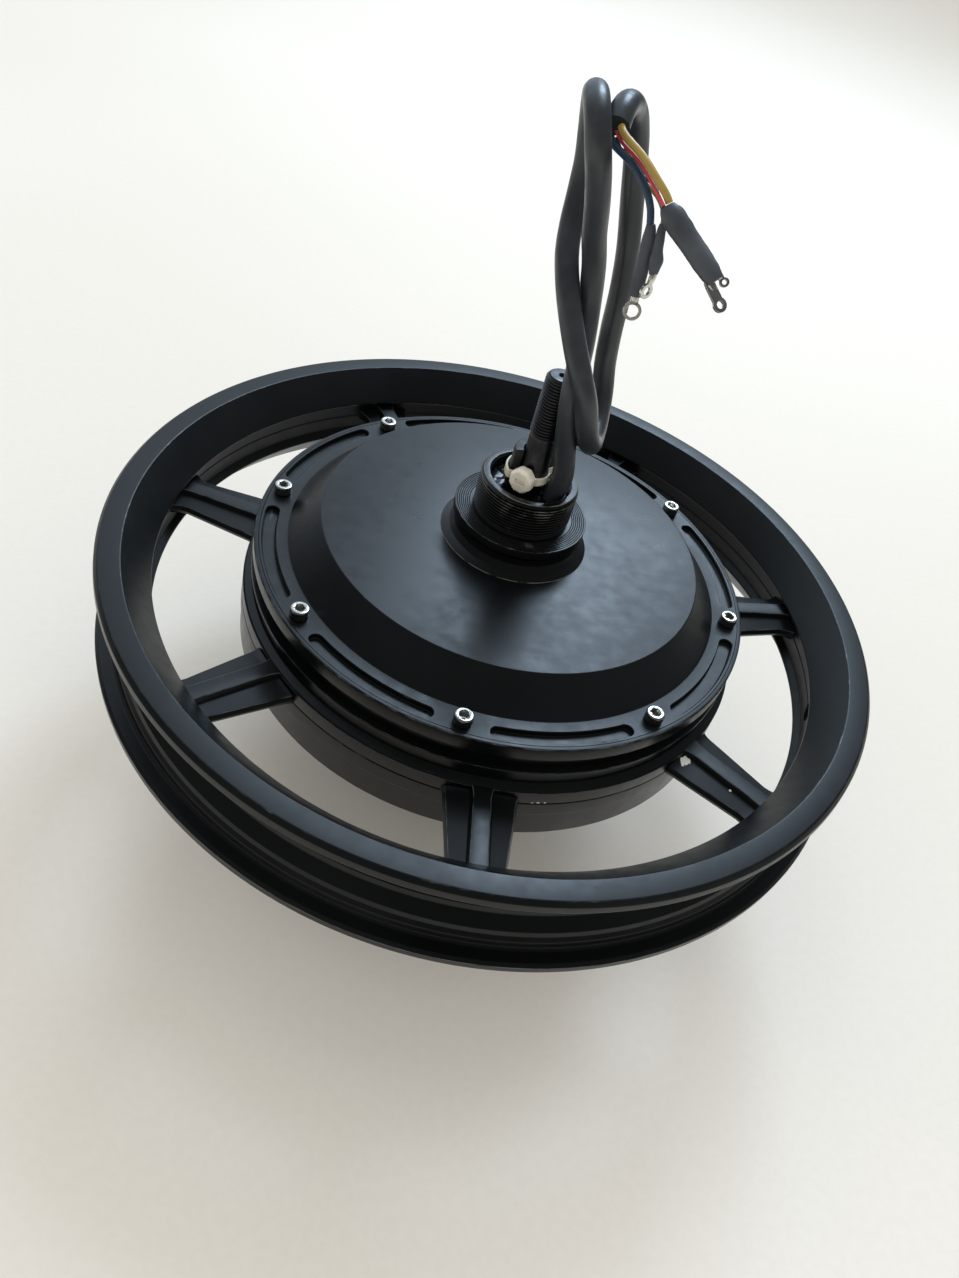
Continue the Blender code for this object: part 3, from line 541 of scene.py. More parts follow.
def metal(name, colour, roughness, scratch=0.3, stain=(0.25, 0.22, 0.18), stain_amount=0.35,
          turned=False):
    """Bare or plated metal with fine scratches, uneven polish and some stain."""
    f = Finish(name, colour, roughness, 1.0)
    broad = f.noise(120.0, 4.0)
    grime = f.maths("MULTIPLY", f.span(f.noise(420.0, 5.0, 0.65), 0.50, 0.74), stain_amount)
    lift = f.blend(f.span(broad, 0.35, 0.65), tuple(0.86 * c for c in colour), colour)
    f.drive("Base Color", f.blend(grime, lift, stain))
    f.drive("Roughness", f.span(broad, 0.3, 0.7, roughness * 0.75, roughness * 1.45))
    lines = f.stretched((1.0, 1.0, 26.0)) if turned else f.stretched((1.0, 14.0, 3.0))
    f.bump(f.noise(700.0, 4.0, coords=lines), scratch, 0.00003)
    return f.mat


def moulded(name, colour, roughness, grain=0.2, dust=0.12, stretch=(1.0, 1.0, 0.35)):
    """Plastic or rubber with soft tone changes, handling marks and a faint skin."""
    f = Finish(name, colour, roughness)
    broad = f.noise(45.0, 4.0)
    streak = f.noise(300.0, 4.0, coords=f.stretched(stretch))
    tone = f.blend(f.span(broad, 0.3, 0.7), tuple(0.72 * c for c in colour),
                   tuple(min(1.0, 1.25 * c) for c in colour))
    grey = tuple(0.6 * c + 0.16 for c in colour)
    tone = f.blend(f.maths("MULTIPLY", f.span(streak, 0.55, 0.75), dust), tone, grey)
    f.drive("Base Color", tone)
    f.drive("Roughness", f.span(streak, 0.35, 0.7, roughness * 0.82, roughness * 1.3))
    f.bump(f.noise(1500.0, 3.0), grain, 0.00003)
    f.bump(broad, grain * 1.2, 0.0002)
    return f.mat


# ---------------------------------------------------------------- camera, cable and its cores

LENS = 30.09
CAMERA_PLACE = (-0.11076, -0.32803, 0.29585)
CAMERA_RIGHT = (0.96857925, -0.11185112, 0.22213411)
CAMERA_DOWN = (0.07968692, -0.70650462, -0.70320780)
CAMERA_AHEAD = (0.23559336, 0.69881367, -0.67539265)


def make_camera():
    """A close view from above, 30 mm on the long side and a little rolled."""
    data = bpy.data.cameras.new("camera")
    data.sensor_width = 36.0
    data.sensor_fit = "AUTO"
    data.lens = LENS
    data.clip_start = 0.01
    data.clip_end = 60.0
    camera = bpy.data.objects.new("camera", data)
    axes = (Vector(CAMERA_RIGHT), -Vector(CAMERA_DOWN), -Vector(CAMERA_AHEAD))
    turn = Matrix(axes).transposed().to_4x4()
    camera.matrix_world = Matrix.Translation(Vector(CAMERA_PLACE)) @ turn
    bpy.context.scene.collection.objects.link(camera)
    bpy.context.scene.camera = camera


def tapered(name, stations, mat, stands_for, flat=1.0, sides=36, ripple=0.0):
    """Round or flattened sleeve lofted through (front, side, height, half width) stations."""
    rows = smooth_rows([(*bundle_point(*s[:3]), s[3]) for s in stations], 0.7)
    pts = [Vector(r[:3]) for r in rows]
    loops = []
    for n, row in enumerate(rows):
        ahead = pts[min(n + 1, len(pts) - 1)] - pts[max(n - 1, 0)]
        ring = ring_about(pts[n], ahead, row[3] * flat, row[3], sides)
        if ripple:
            ring = [pts[n] + (p - pts[n]) * (1.0 + ripple * noise.noise(p * 0.45)) for p in ring]
        loops.append(ring)
    obj = piece(name, loft(loops), mat, STATOR, stands_for, 50.0)
    soften(obj, 0.25)
    return obj


def terminal(name, base, heading, normal_hint, mat, neck, radius, hole, half=1.2):
    """Ring terminal: a crimped barrel and neck running into a flat ring."""
    start = bundle_point(*base)
    along = bundle_point(*heading).normalized()
    across = along.cross(bundle_point(*normal_hint)).normalized()
    normal = across.cross(along).normalized()
    lead = math.asin(min(0.95, half / radius))
    centre = neck + radius * math.cos(lead)
    outline = [(-1.6, half * 0.9), (0.0, half)]
    for k in range(29):
        a = math.pi - lead - (2 * math.pi - 2 * lead) * k / 28
        outline.append((centre + radius * math.cos(a), radius * math.sin(a)))
    outline += [(0.0, -half), (-1.6, -half * 0.9)]
    loops = [[start + along * x + across * y + normal * side for x, y in outline]
             for side in (-0.45, 0.45)]
    lug = piece(name + "_tongue", loft(loops), mat, STATOR, name, 30.0)
    middle = start + along * centre
    loops = [[middle + normal * side + across * (hole * math.cos(t)) + along * (hole * math.sin(t))
              for t in np.linspace(0, 2 * math.pi, 28, endpoint=False)] for side in (-2.0, 2.0)]
    cut(lug, loft(loops))
    soften(lug, 0.12)
    barrel = []
    for x, r in ((-2.2, 1.05), (-0.4, 1.1), (0.2, 1.0), (0.9 * min(neck, 1.6), 0.62)):
        barrel.append([start + along * x + across * (r * math.cos(t)) + normal * (r * math.sin(t))
                       for t in np.linspace(0, 2 * math.pi, 20, endpoint=False)])
    crimp = piece(name + "_barrel", loft(barrel), mat, STATOR, name, 40.0)
    soften(crimp, 0.12)
    return [lug, crimp]


INSULATION = {
    "wire_yellow": ("yellow_insulation", (0.36, 0.25, 0.05)),
    "wire_blue": ("blue_insulation", (0.022, 0.050, 0.095)),
    "wire_red": ("red_insulation", (0.55, 0.05, 0.06)),
    "wire_green": ("green_insulation", (0.015, 0.16, 0.11)),
    "wire_thin_yellow": ("pale_yellow_insulation", (0.33, 0.25, 0.08)),
}


def make_wires():
    wires = []
    for name, (diameter, route) in WIRE_ROUTES.items():
        slot, colour = INSULATION[name]
        wire = curve_tube(name + "_core", smooth_path(route, 0.8), diameter,
                          moulded(slot + "_finish", colour, 0.38, 0.12), 5)
        finish_piece(wire, STATOR, name)
        wires.append(wire)
    return wires


def make_sleeves():
    shrink = moulded("shrink_sleeve_finish", (0.052, 0.060, 0.072), 0.55, 0.15, 0.08)
    large = tapered("shrink_tube_large", (
        (25.4, 13.9, 186.9, 2.2), (26.0, 15.0, 186.0, 3.0), (26.6, 16.2, 185.2, 3.6),
        (27.6, 18.8, 183.4, 3.65), (30.0, 24.6, 179.8, 3.4), (33.2, 31.6, 175.4, 3.25),
        (34.3, 34.2, 173.7, 2.6)), shrink, "sleeve_large", 0.74, 40, 0.05)
    blue = tapered("shrink_tube_blue", (
        (21.9, 11.3, 179.4, 1.35), (22.1, 11.7, 177.8, 1.7), (22.6, 12.2, 174.6, 2.1),
        (23.6, 12.6, 170.4, 1.95), (24.6, 13.0, 166.0, 2.15), (25.6, 13.5, 161.6, 2.0),
        (26.4, 13.8, 158.6, 1.7)),
        shrink, "sleeve_blue", 0.9, 28, 0.07)
    yellow = tapered("shrink_tube_yellow", (
        (23.3, 14.6, 181.0, 0.95), (23.6, 14.8, 179.4, 1.25), (24.2, 15.2, 176.6, 1.5),
        (25.0, 15.8, 173.6, 1.5), (25.6, 16.2, 171.4, 2.1), (26.2, 16.4, 169.4, 1.85),
        (27.0, 16.6, 166.8, 1.2)),
        shrink, "sleeve_yellow", 0.9, 28, 0.08)
    return [large, blue, yellow]


def make_terminals():
    tinned = metal("tinned_copper_finish", (0.72, 0.70, 0.66), 0.24, 0.35, (0.34, 0.28, 0.20), 0.4)
    lugs = []
    lugs += terminal("lug_left", (34.9, 33.2, 172.2), (2.0, 5.0, -4.4), (1.0, 0.2, 1.6),
                     tinned, 4.6, 2.3, 1.1, 1.7)
    lugs += terminal("lug_right", (33.4, 35.2, 174.9), (0.8, 2.8, -1.7), (1.0, -0.3, 0.9),
                     tinned, 0.6, 1.5, 0.7, 0.9)
    lugs += terminal("lug_blue", (26.9, 14.0, 157.6), (0.5, 0.2, -2.2), (1.0, 0.0, 0.9),
                     tinned, 0.5, 2.9, 1.9)
    lugs += terminal("lug_yellow", (27.4, 16.7, 165.6), (0.8, -0.4, -3.0), (0.8, 0.9, 0.3),
                     tinned, 1.4, 2.4, 1.2, 1.0)
    return lugs


def make_cable():
    """The jacketed cable as one tube; its wires, sleeves and terminals are made first and ride on the
    stator body with it.
    """
    jacket = moulded("cable_jacket_finish", (0.030, 0.035, 0.040), 0.36, 0.02, 0.04,
                     (1.0, 1.0, 0.2))
    on_cable = make_wires() + make_sleeves() + make_terminals()
    path = smooth_path(CABLE_ROUTE, 1.6)
    cable = curve_tube("cable", path, CABLE_DIAMETER, jacket, 9)
    finish_piece(cable, STATOR, "motor_cable")


make_camera()
make_cable()


# ---------------------------------------------------------------- finishes

# (place, radius) of the small bare spots in the paint
PAINT_CHIPS = (
    ((66.7, -82.6, 2.0), 2.2), ((65.2, -84.5, 1.8), 1.0), ((81.4, -96.1, 2.6), 0.7),
    ((4.8, -103.7, -0.3), 0.7), ((2.6, -103.8, -0.5), 0.6), ((7.4, -103.5, -0.3), 0.5),
)
BLACK = (0.0040, 0.0048, 0.0052)
CAST_PAINT = painted("cast_paint", BLACK, 0.36, 1.0, (0.13, 0.14, 0.15), PAINT_CHIPS)
COVER_PAINT = painted("cover_paint", BLACK, 0.33, 0.6, (0.12, 0.13, 0.14))
# the pale rubbed colour here is worn thread crests and, on the foot's lip, a painted highlight line
BOSS_PAINT = painted("boss_paint", (0.0038, 0.0042, 0.0045), 0.30, 0.4, (0.28, 0.27, 0.25))
NICKEL = metal("nickel_finish", (0.62, 0.59, 0.54), 0.20, 0.25, (0.30, 0.24, 0.17), 0.35)
AXLE_STEEL = metal("axle_steel", (0.085, 0.085, 0.09), 0.36, 0.5, (0.03, 0.028, 0.026), 0.5, True)
RUBBER = moulded("rubber_finish", (0.014, 0.014, 0.015), 0.48, 0.35, 0.14)
RESIN = moulded("potting_resin", (0.006, 0.006, 0.0065), 0.25, 0.3, 0.02)
NYLON = moulded("nylon_finish", (0.66, 0.62, 0.52), 0.34, 0.15, 0.10)


# ---------------------------------------------------------------- wheel casting

def make_rim():
    half = RIM_HALF_WIDTH
    upper = [
        (141.5, 6.2, 1.2, 0.1), (138.0, 8.3, 0.8, 0.45), (149.6, half, 0.9, 0.55),
        (157.7, half, 1.1, 0.45), (159.1, half - 1.6, 0.6, 0.25), (RIM_RADIUS, half - 4.3, 0.5, 0.9),
        (158.0, half - 5.5, 0.4, 0.1), (152.9, 15.8, 1.6, 0.0), (152.5, 12.6, 0.8, 0.1),
        (151.2, 11.2, 0.6, 0.2), (150.6, 9.4, 0.8, 0.1), (146.2, 6.0, 1.2, 0.1),
        (145.6, 4.0, 0.4, 0.2), (145.0, 3.4, 0.3, 0.0),
    ]
    lower = [(r, -z, *rest) for r, z, *rest in reversed(upper)]
    inner = [(141.5, -0.7, 0.1, 0.0), (141.2, -0.25, 0.1, 0.3), (141.2, 0.25, 0.1, 0.3),
             (141.5, 0.7, 0.1, 0.0)]
    bm = lathe_mesh(rounded(upper + lower + inner, 4), 256)
    rim = piece("rim", bm, CAST_PAINT, None)
    hole = loft([[Matrix.Rotation(math.radians(VALVE_ANGLE), 3, "Z")
                  @ Vector((x, VALVE_HOLE_RADIUS * math.cos(t), VALVE_HOLE_RADIUS * math.sin(t)))
                  for t in np.linspace(0, 2 * math.pi, 40, endpoint=False)]
                 for x in (135.0, 150.0)])
    cut(rim, hole)
    finish_piece(rim, WHEEL, "wheel_casting")


def make_drum():
    outline = [
        (DRUM_BORE, DRUM_BOTTOM, 0.0, 0.0), (DRUM_RADIUS, DRUM_BOTTOM, 0.35, 0.75),
        (DRUM_RADIUS, 5.0, 0.5, 0.8), (103.2, 5.7, 0.3, 0.5), (100.2, 6.6, 0.7, 0.0),
        (100.0, 11.4, 0.4, 0.0), (101.1, 12.0, 0.25, 0.9), (101.0, DRUM_TOP, 0.25, 0.7),
        (DRUM_BORE, DRUM_TOP, 0.0, 0.0),
    ]
    piece("motor_drum", lathe_mesh(rounded(outline, 4), 256), CAST_PAINT, WHEEL, "wheel_casting")


def spoke_outline(radius):
    """Cross-section of a spoke at one radius: a sloped plate with a rib down the middle."""
    reach = 13.5 - 2.7 * (radius - 109.0) / 25.0
    rib = 3.25
    if radius < 109.0:
        reach = 13.5 + 3.5 * ((109.0 - radius) / 11.0) ** 2
        rib += 0.9 * ((109.0 - radius) / 6.0) ** 2 if radius > 101.0 else 1.6
    if radius > 134.0:
        reach = 10.8 + 4.6 * ((radius - 134.0) / 9.4) ** 2
        rib += 1.1 * ((radius - 134.0) / 9.0) ** 2
    lift = 0.9 * max(0.0, (radius - 137.5) / 5.0) ** 2 + 1.2 * max(0.0, (105.5 - radius) / 4.0) ** 2
    lift = min(lift, 1.6)
    top = [
        (-reach, 0.1, 0.5, 0.35), (-reach + 1.0, 1.9 + lift, 0.6, 0.8),
        (-rib - 0.7, 2.9 + lift, 0.7, 0.0), (-rib, SPOKE_RIB_TOP, 0.55, 0.9),
        (rib, SPOKE_RIB_TOP, 0.55, 0.9), (rib + 0.7, 2.9 + lift, 0.7, 0.0),
        (reach - 1.0, 1.9 + lift, 0.6, 0.8), (reach, 0.1, 0.5, 0.35),
    ]
    under = [
        (reach - 1.0, -2.0, 0.6, 0.3), (rib + 0.7, -2.3, 0.7, 0.0), (rib, -5.1, 0.55, 0.4),
        (-rib, -5.1, 0.55, 0.4), (-rib - 0.7, -2.3, 0.7, 0.0), (-reach + 1.0, -2.0, 0.6, 0.3),
    ]
    return rounded(top + under, 3)


def make_spokes():
    radii = (103.2, 104.0, 105.0, 106.2, 108.0, 112.0, 118.0, 124.0, 130.0, 134.0, 136.0, 137.6,
             139.0, 140.2, 141.2, 142.2)
    for n, angle in enumerate(around(SPOKE_COUNT, SPOKE_FIRST_ANGLE), start=1):
        turn = Matrix.Rotation(math.radians(angle), 3, "Z")
        loops = [[turn @ Vector((r, y, z)) for y, z, _ in spoke_outline(r)] for r in radii]
        wear_and_highlight = [w for _, _, w in spoke_outline(radii[0])]
        piece(f"spoke_{n}", loft(loops, wear_and_highlight), CAST_PAINT, WHEEL, "wheel_casting")


# ---------------------------------------------------------------- motor covers

def kidney(angle):
    """Slot cutter with a small chamfer where it meets the cover's face."""
    loops = []
    levels = ((COVER_TOP - SLOT_DEPTH, -0.35), (COVER_TOP - SLOT_DEPTH + 0.35, 0.0),
              (COVER_TOP - 0.3, 0.0), (COVER_TOP + 0.05, 0.35), (COVER_TOP + 3.0, 0.35))
    for z, grow in levels:
        half = SLOT_WIDTH / 2 + grow
        sweep = SLOT_HALF_ANGLE - math.degrees(SLOT_WIDTH / 2 / SLOT_RADIUS)
        loop = [polar(SLOT_RADIUS + half, angle + a, z) for a in np.linspace(-sweep, sweep, 20)]
        end = polar(SLOT_RADIUS, angle + sweep, z)
        loop += [end + polar(half, angle + sweep + t) for t in range(15, 180, 15)]
        loop += [polar(SLOT_RADIUS - half, angle + a, z) for a in np.linspace(sweep, -sweep, 20)]
        end = polar(SLOT_RADIUS, angle - sweep, z)
        loop += [end + polar(half, angle - sweep + t) for t in range(195, 360, 15)]
        loops.append(loop)
    return loft(loops)


def make_front_cover():
    outline = [
        (98.0, 13.4, 0.0, 0.0), (98.0, 20.4, 0.3, 0.0), (COVER_RADIUS, 20.4, 0.3, 0.7),
        (COVER_RADIUS, COVER_TOP, 0.6, 0.6), (99.55, COVER_TOP, 0.0, 0.0),
        (99.4, COVER_TOP - 0.22, 0.0, 0.0), (99.25, COVER_TOP, 0.0, 0.0),
        (88.3, COVER_TOP, 0.7, 0.0), (76.9, PLATEAU_TOP, 0.7, 0.35), (24.0, PLATEAU_TOP, 0.0, 0.0),
        (24.0, 35.3, 0.0, 0.0), (73.6, 35.3, 0.0, 0.0), (84.8, 22.4, 0.0, 0.0),
        (DRUM_BORE, 22.4, 0.0, 0.0), (DRUM_BORE, 13.4, 0.0, 0.0),
    ]
    cover = piece("motor_cover", lathe_mesh(rounded(outline, 4), 256), COVER_PAINT, None)
    for angle in around(SCREW_COUNT, FRONT_SCREW_ANGLE + 180.0 / SCREW_COUNT):
        cut(cover, kidney(angle))
    finish_piece(cover, WHEEL, "front_cover")


def make_boss():
    core = THREAD_RADIUS - 0.9
    # the 0.85 fourth value at the foot's outer lip (29.9, 39.3) paints a pale highlight line there,
    # not worn paint
    outline = [(15.4, 36.0, 0.0, 0.0), (24.0, 36.0, 0.0, 0.0), (29.4, 38.3, 0.4, 0.0),
               (29.9, 39.3, 0.35, 0.85), (26.6, 41.0, 1.2, 0.0), (25.0, 43.2, 1.4, 0.0),
               (25.0, 46.4, 0.8, 0.0), (26.5, 48.2, 0.5, 0.2), (26.5, BOSS_SHOULDER, 0.45, 0.55)]
    for k in range(BOSS_RINGS):
        r = 25.6 - BOSS_RING_STEP * k
        outline += [(r + 0.24, BOSS_SHOULDER, 0.0, 0.3), (r, BOSS_SHOULDER - 0.22, 0.0, 0.0),
                    (r - 0.24, BOSS_SHOULDER, 0.0, 0.3)]
    outline += [(core + 0.4, BOSS_SHOULDER, 0.3, 0.0), (core, 52.1, 0.0, 0.0),
                (core, BOSS_TOP - 0.7, 0.0, 0.0), (core + 0.2, BOSS_TOP, 0.35, 1.0, 0.30),
                (16.3, BOSS_TOP, 0.3, 0.9, 0.30), (15.4, BOSS_TOP - 0.9, 0.2, 0.4, 0.2)]
    piece("boss", lathe_mesh(rounded(outline, 4), 192), BOSS_PAINT, WHEEL, "front_cover")
    thread = helix_mesh(core - 0.05, THREAD_RADIUS, BOSS_THREAD_START, BOSS_TOP - 0.15,
                        BOSS_THREAD_PITCH, 192, 1.0)
    piece("boss_thread", thread, BOSS_PAINT, WHEEL, "front_cover", 32.0)


def make_rear_cover():
    end = REAR_BOSS_END
    outline = [
        (DRUM_BORE, -1.1, 0.0, 0.0), (REAR_RADIUS, -1.1, 0.35, 0.5), (REAR_RADIUS, -7.4, 0.4, 0.8),
        (103.2, -8.0, 0.2, 0.0), (103.2, REAR_FACE, 1.0, 0.5), (88.3, REAR_FACE, 0.8, 0.0),
        (76.6, REAR_PLATEAU, 0.8, 0.35), (26.0, REAR_PLATEAU, 2.0, 0.0), (22.8, end + 1.2, 0.8, 0.1),
        (21.8, end, 0.6, 0.6), (12.0, end, 0.4, 0.6), (12.0, -41.8, 0.0, 0.0),
        (17.8, -41.8, 0.0, 0.0), (17.8, -29.0, 0.0, 0.0), (74.0, -29.0, 0.0, 0.0),
        (84.8, -16.6, 0.0, 0.0), (DRUM_BORE, -16.6, 0.0, 0.0),
    ]
    piece("lower_cover", lathe_mesh(rounded(outline, 4), 256), COVER_PAINT, WHEEL, "rear_cover")
    seal = [(8.0, end + 0.3, 0.2, 0.0), (8.6, end + 0.9, 0.2, 0.0), (9.6, end + 0.9, 0.2, 0.0),
            (10.2, end + 0.3, 0.3, 0.0), (11.7, end + 0.3, 0.3, 0.0), (11.7, -42.1, 0.2, 0.0),
            (8.0, -42.1, 0.2, 0.0)]
    piece("shaft_seal", lathe_mesh(rounded(seal, 3), 96), RUBBER, WHEEL, "rear_oil_seal")


# ---------------------------------------------------------------- screws

def screw_mesh():
    """Socket cap screw head with a knurled wall; underside of the head at z 0."""
    bm = bmesh.new()
    layer = bm.verts.layers.float.new("wear_and_highlight")
    sides = 96
    height = SCREW_HEAD_HEIGHT
    r = SCREW_HEAD_RADIUS
    rings = [(1.9, -3.0, 0), (1.9, 0.0, 0), (r - 0.25, 0.0, 0), (r, 0.25, 1), (r, height - 0.75, 1)]
    for k in range(5):
        t = math.radians(90.0 * k / 4)
        rings.append((r - 0.6 + 0.6 * math.cos(t), height - 0.6 + 0.6 * math.sin(t), 0))
    rings += [(2.05, height, 0), (None, height - 0.25, 0), (None, height - 2.0, 0)]
    rows = []
    for radius, z, knurl in rings:
        row = []
        for k in range(sides):
            if radius is None:
                off = math.radians((k * 360.0 / sides) % 60.0 - 30.0)
                ray = SOCKET_HALF_WIDTH / math.cos(off)
            else:
                ray = radius - (0.05 if knurl and k % 2 else 0.0)
            vert = bm.verts.new(polar(ray, k * 360.0 / sides, z))
            vert[layer] = 0.0
            row.append(vert)
        rows.append(row)
    for a, b in zip(rows, rows[1:]):
        for k in range(sides):
            j = (k + 1) % sides
            bm.faces.new((a[k], a[j], b[j], b[k]))
    bm.faces.new(list(reversed(rows[0])))
    bm.faces.new(rows[-1])
    return bm


def make_screws():
    for side, first, seat in (("front", FRONT_SCREW_ANGLE, SCREW_SEAT),
                              ("rear", REAR_SCREW_ANGLE, REAR_SCREW_SEAT)):
        for n, angle in enumerate(around(SCREW_COUNT, first), start=1):
            bm = screw_mesh()
            turn = Matrix.Rotation(math.radians(37.0 * n), 3, "Z")
            if side == "rear":
                turn = Matrix.Rotation(math.pi, 3, "X") @ turn
            bmesh.ops.rotate(bm, cent=(0, 0, 0), verts=bm.verts[:], matrix=turn)
            bmesh.ops.translate(bm, verts=bm.verts[:], vec=polar(SCREW_PITCH_RADIUS, angle, seat))
            piece(f"{side}_screw_{n}", bm, NICKEL, WHEEL, f"{side}_cover_screw_{n}",
                  38.0)


# ---------------------------------------------------------------- axle, boot, potting, tie

def make_axle():
    neck = AXLE_NECK_RADIUS
    core = AXLE_THREAD_RADIUS - 0.75
    end = AXLE_END
    start = AXLE_THREAD_START
    outline = [
        (0.02, -end, 0.0, 0.0), (core - 0.4, -end, 0.3, 0.6), (core, -end + 0.9, 0.0, 0.0),
        (core, -start, 0.2, 0.0), (neck, -start + 0.8, 0.2, 0.0), (neck, -60.0, 0.3, 0.0),
        (7.5, -60.0, 0.4, 0.5), (7.5, -29.0, 0.2, 0.0), (11.0, -28.0, 0.3, 0.0),
        (11.0, -18.0, 0.2, 0.0), (14.6, -17.0, 0.2, 0.0), (14.6, 57.4, 0.3, 0.0),
        (neck, 57.4, 0.3, 0.0), (neck, start - 0.8, 0.2, 0.0), (core, start, 0.2, 0.0),
        (core, end - 0.9, 0.0, 0.0), (core - 0.4, end, 0.3, 0.6), (1.6, end, 0.15, 0.4),
        (0.9, end - 1.0, 0.0, 0.0), (0.9, end - 3.0, 0.0, 0.0), (0.02, end - 3.8, 0.0, 0.0),
    ]
    piece("axle_shaft", lathe_mesh(rounded(outline, 3), 96), AXLE_STEEL, STATOR, "axle")
    for name, low, high in (("front_axle_thread", start, end - 0.35),
                            ("rear_axle_thread", -end + 0.35, -start)):
        bm = helix_mesh(core - 0.05, AXLE_THREAD_RADIUS, low, high, AXLE_THREAD_PITCH, 72, 0.6)
        piece(name, bm, AXLE_STEEL, STATOR, "axle", 80.0)


def make_boot():
    """Ribbed boot on the axle, open where the cable and the front of the axle show."""
    outline = rounded([
        (5.9, 62.9, 0.0, 0.0), (9.6, 62.9, 0.4, 0.0), (9.6, 73.4, 0.3, 0.0), (9.1, 73.9, 0.2, 0.0),
        (9.6, 74.4, 0.3, 0.0), (9.1, 75.2, 0.2, 0.0), (9.6, 76.0, 0.3, 0.0), (9.1, 76.8, 0.2, 0.0),
        (9.6, 77.6, 0.4, 0.0), (9.2, 79.4, 0.5, 0.0), (5.9, 79.4, 0.0, 0.0)], 4)
    loops = []
    for n in range(61):
        angle = bundle_angle(153.0 + 163.0 * n / 60)
        loops.append([polar(r, angle, z) for r, z, _ in outline])
    boot = piece("ribbed_boot", loft(loops), RUBBER, STATOR, "axle_boot")
    soften(boot, 0.3)


def make_potting():
    """Lumpy resin filling the boss bore round the axle and the cable."""
    bm = bmesh.new()
    radii = np.linspace(5.2, 15.1, 14)
    rows = []
    for r in radii:
        row = []
        for k in range(RESIN_SIDES):
            p = polar(r, 360.0 * k / RESIN_SIDES)
            lump = 0.75 * noise.noise(p * 0.28) + 0.3 * noise.noise(p * 0.9)
            edge = 0.9 * max(0.0, (r - 13.6) / 1.5) ** 2
            row.append(bm.verts.new((p.x, p.y, RESIN_LEVEL + lump + edge)))
        rows.append(row)
    angles = [360.0 * k / RESIN_SIDES for k in range(RESIN_SIDES)]
    skirt = [bm.verts.new(polar(14.9, angle, RESIN_FOOT)) for angle in angles]
    inner = [bm.verts.new(polar(5.2, angle, RESIN_FOOT)) for angle in angles]
    rows = [inner] + rows + [skirt]
    for a, b in zip(rows, rows[1:] + rows[:1]):
        for k in range(RESIN_SIDES):
            j = (k + 1) % RESIN_SIDES
            bm.faces.new((a[k], a[j], b[j], b[k]))
    piece("potting", bm, RESIN, STATOR, "cable_potting", 60.0)


def make_tie_strap():
    """Toothed nylon strap hugging the axle and its boot."""
    phis = [-41.0, -32.0, -12.0, 28.0, 68.0, 108.0, 128.0, 138.0, 149.0, 166.0, 306.0, 319.0]
    reach = [10.0, 5.75, 5.75, 5.75, 5.75, 5.75, 5.75, 6.4, 10.0, 10.0, 10.0, 10.0]
    z0 = TIE_BOTTOM
    z1 = TIE_TOP
    bm = bmesh.new()
    rows = []
    count = 300
    for k in range(count):
        phi = -41.0 + 360.0 * k / count
        r = float(np.interp(phi, phis, reach))
        tooth = 0.13 if -20.0 < phi < 100.0 and k % 2 else 0.0
        angle = bundle_angle(phi)
        section = ((r, z0 + 0.2), (r + 0.2, z0), (r + 0.65, z0), (r + 0.85, z0 + 0.3),
                   (r + 0.85 - tooth, z0 + 0.8), (r + 0.85 - tooth, z1 - 0.8),
                   (r + 0.85, z1 - 0.3), (r + 0.65, z1), (r + 0.2, z1), (r, z1 - 0.2))
        rows.append([bm.verts.new(polar(rr, angle, zz)) for rr, zz in section])
    for a, b in zip(rows, rows[1:] + rows[:1]):
        for i in range(len(a)):
            j = (i + 1) % len(a)
            bm.faces.new((a[i], b[i], b[j], a[j]))
    piece("tie_strap", bm, NYLON, STATOR, "cable_tie_strap", 50.0)


def make_tie_head():
    """Eight-sided head of the tie at the front, with its pocket and pawl."""
    angle = bundle_angle(108.0)
    centre = polar(9.6, angle, 70.6)
    out = polar(1.0, angle)
    across = Vector((-out.y, out.x, 0.0))
    up = Vector((0.0, 0.0, 1.0))

    def block(half_width, bottom, top, depths):
        return [[centre + out * d + across * x + up * z for x, z in
                 ((-half_width, bottom), (half_width, bottom), (half_width, top),
                  (-half_width, top))] for d in depths]

    loops = []
    for depth, scale in ((-2.6, 0.92), (-1.6, 1.0), (1.2, 1.0), (2.2, 0.84)):
        loops.append([centre + out * depth + across * (TIE_HEAD_HALF_WIDTH * scale * math.cos(t))
                      + up * (TIE_HEAD_HALF_HEIGHT * scale * math.sin(t))
                      for t in np.radians(np.arange(22.5, 360.0, 45.0))])
    head = piece("tie_head", loft(loops), NYLON, None)
    cut(head, loft(block(2.0, -0.7, 0.9, (1.2, 4.0))))
    soften(head, 0.2)
    finish_piece(head, STATOR, "cable_tie_head")
    pawl = piece("tie_pawl", loft(block(1.8, -0.3, 0.5, (0.9, 1.75))), NYLON, STATOR,
                 "cable_tie_head")
    soften(pawl, 0.15)


# ---------------------------------------------------------------- parts inside the motor

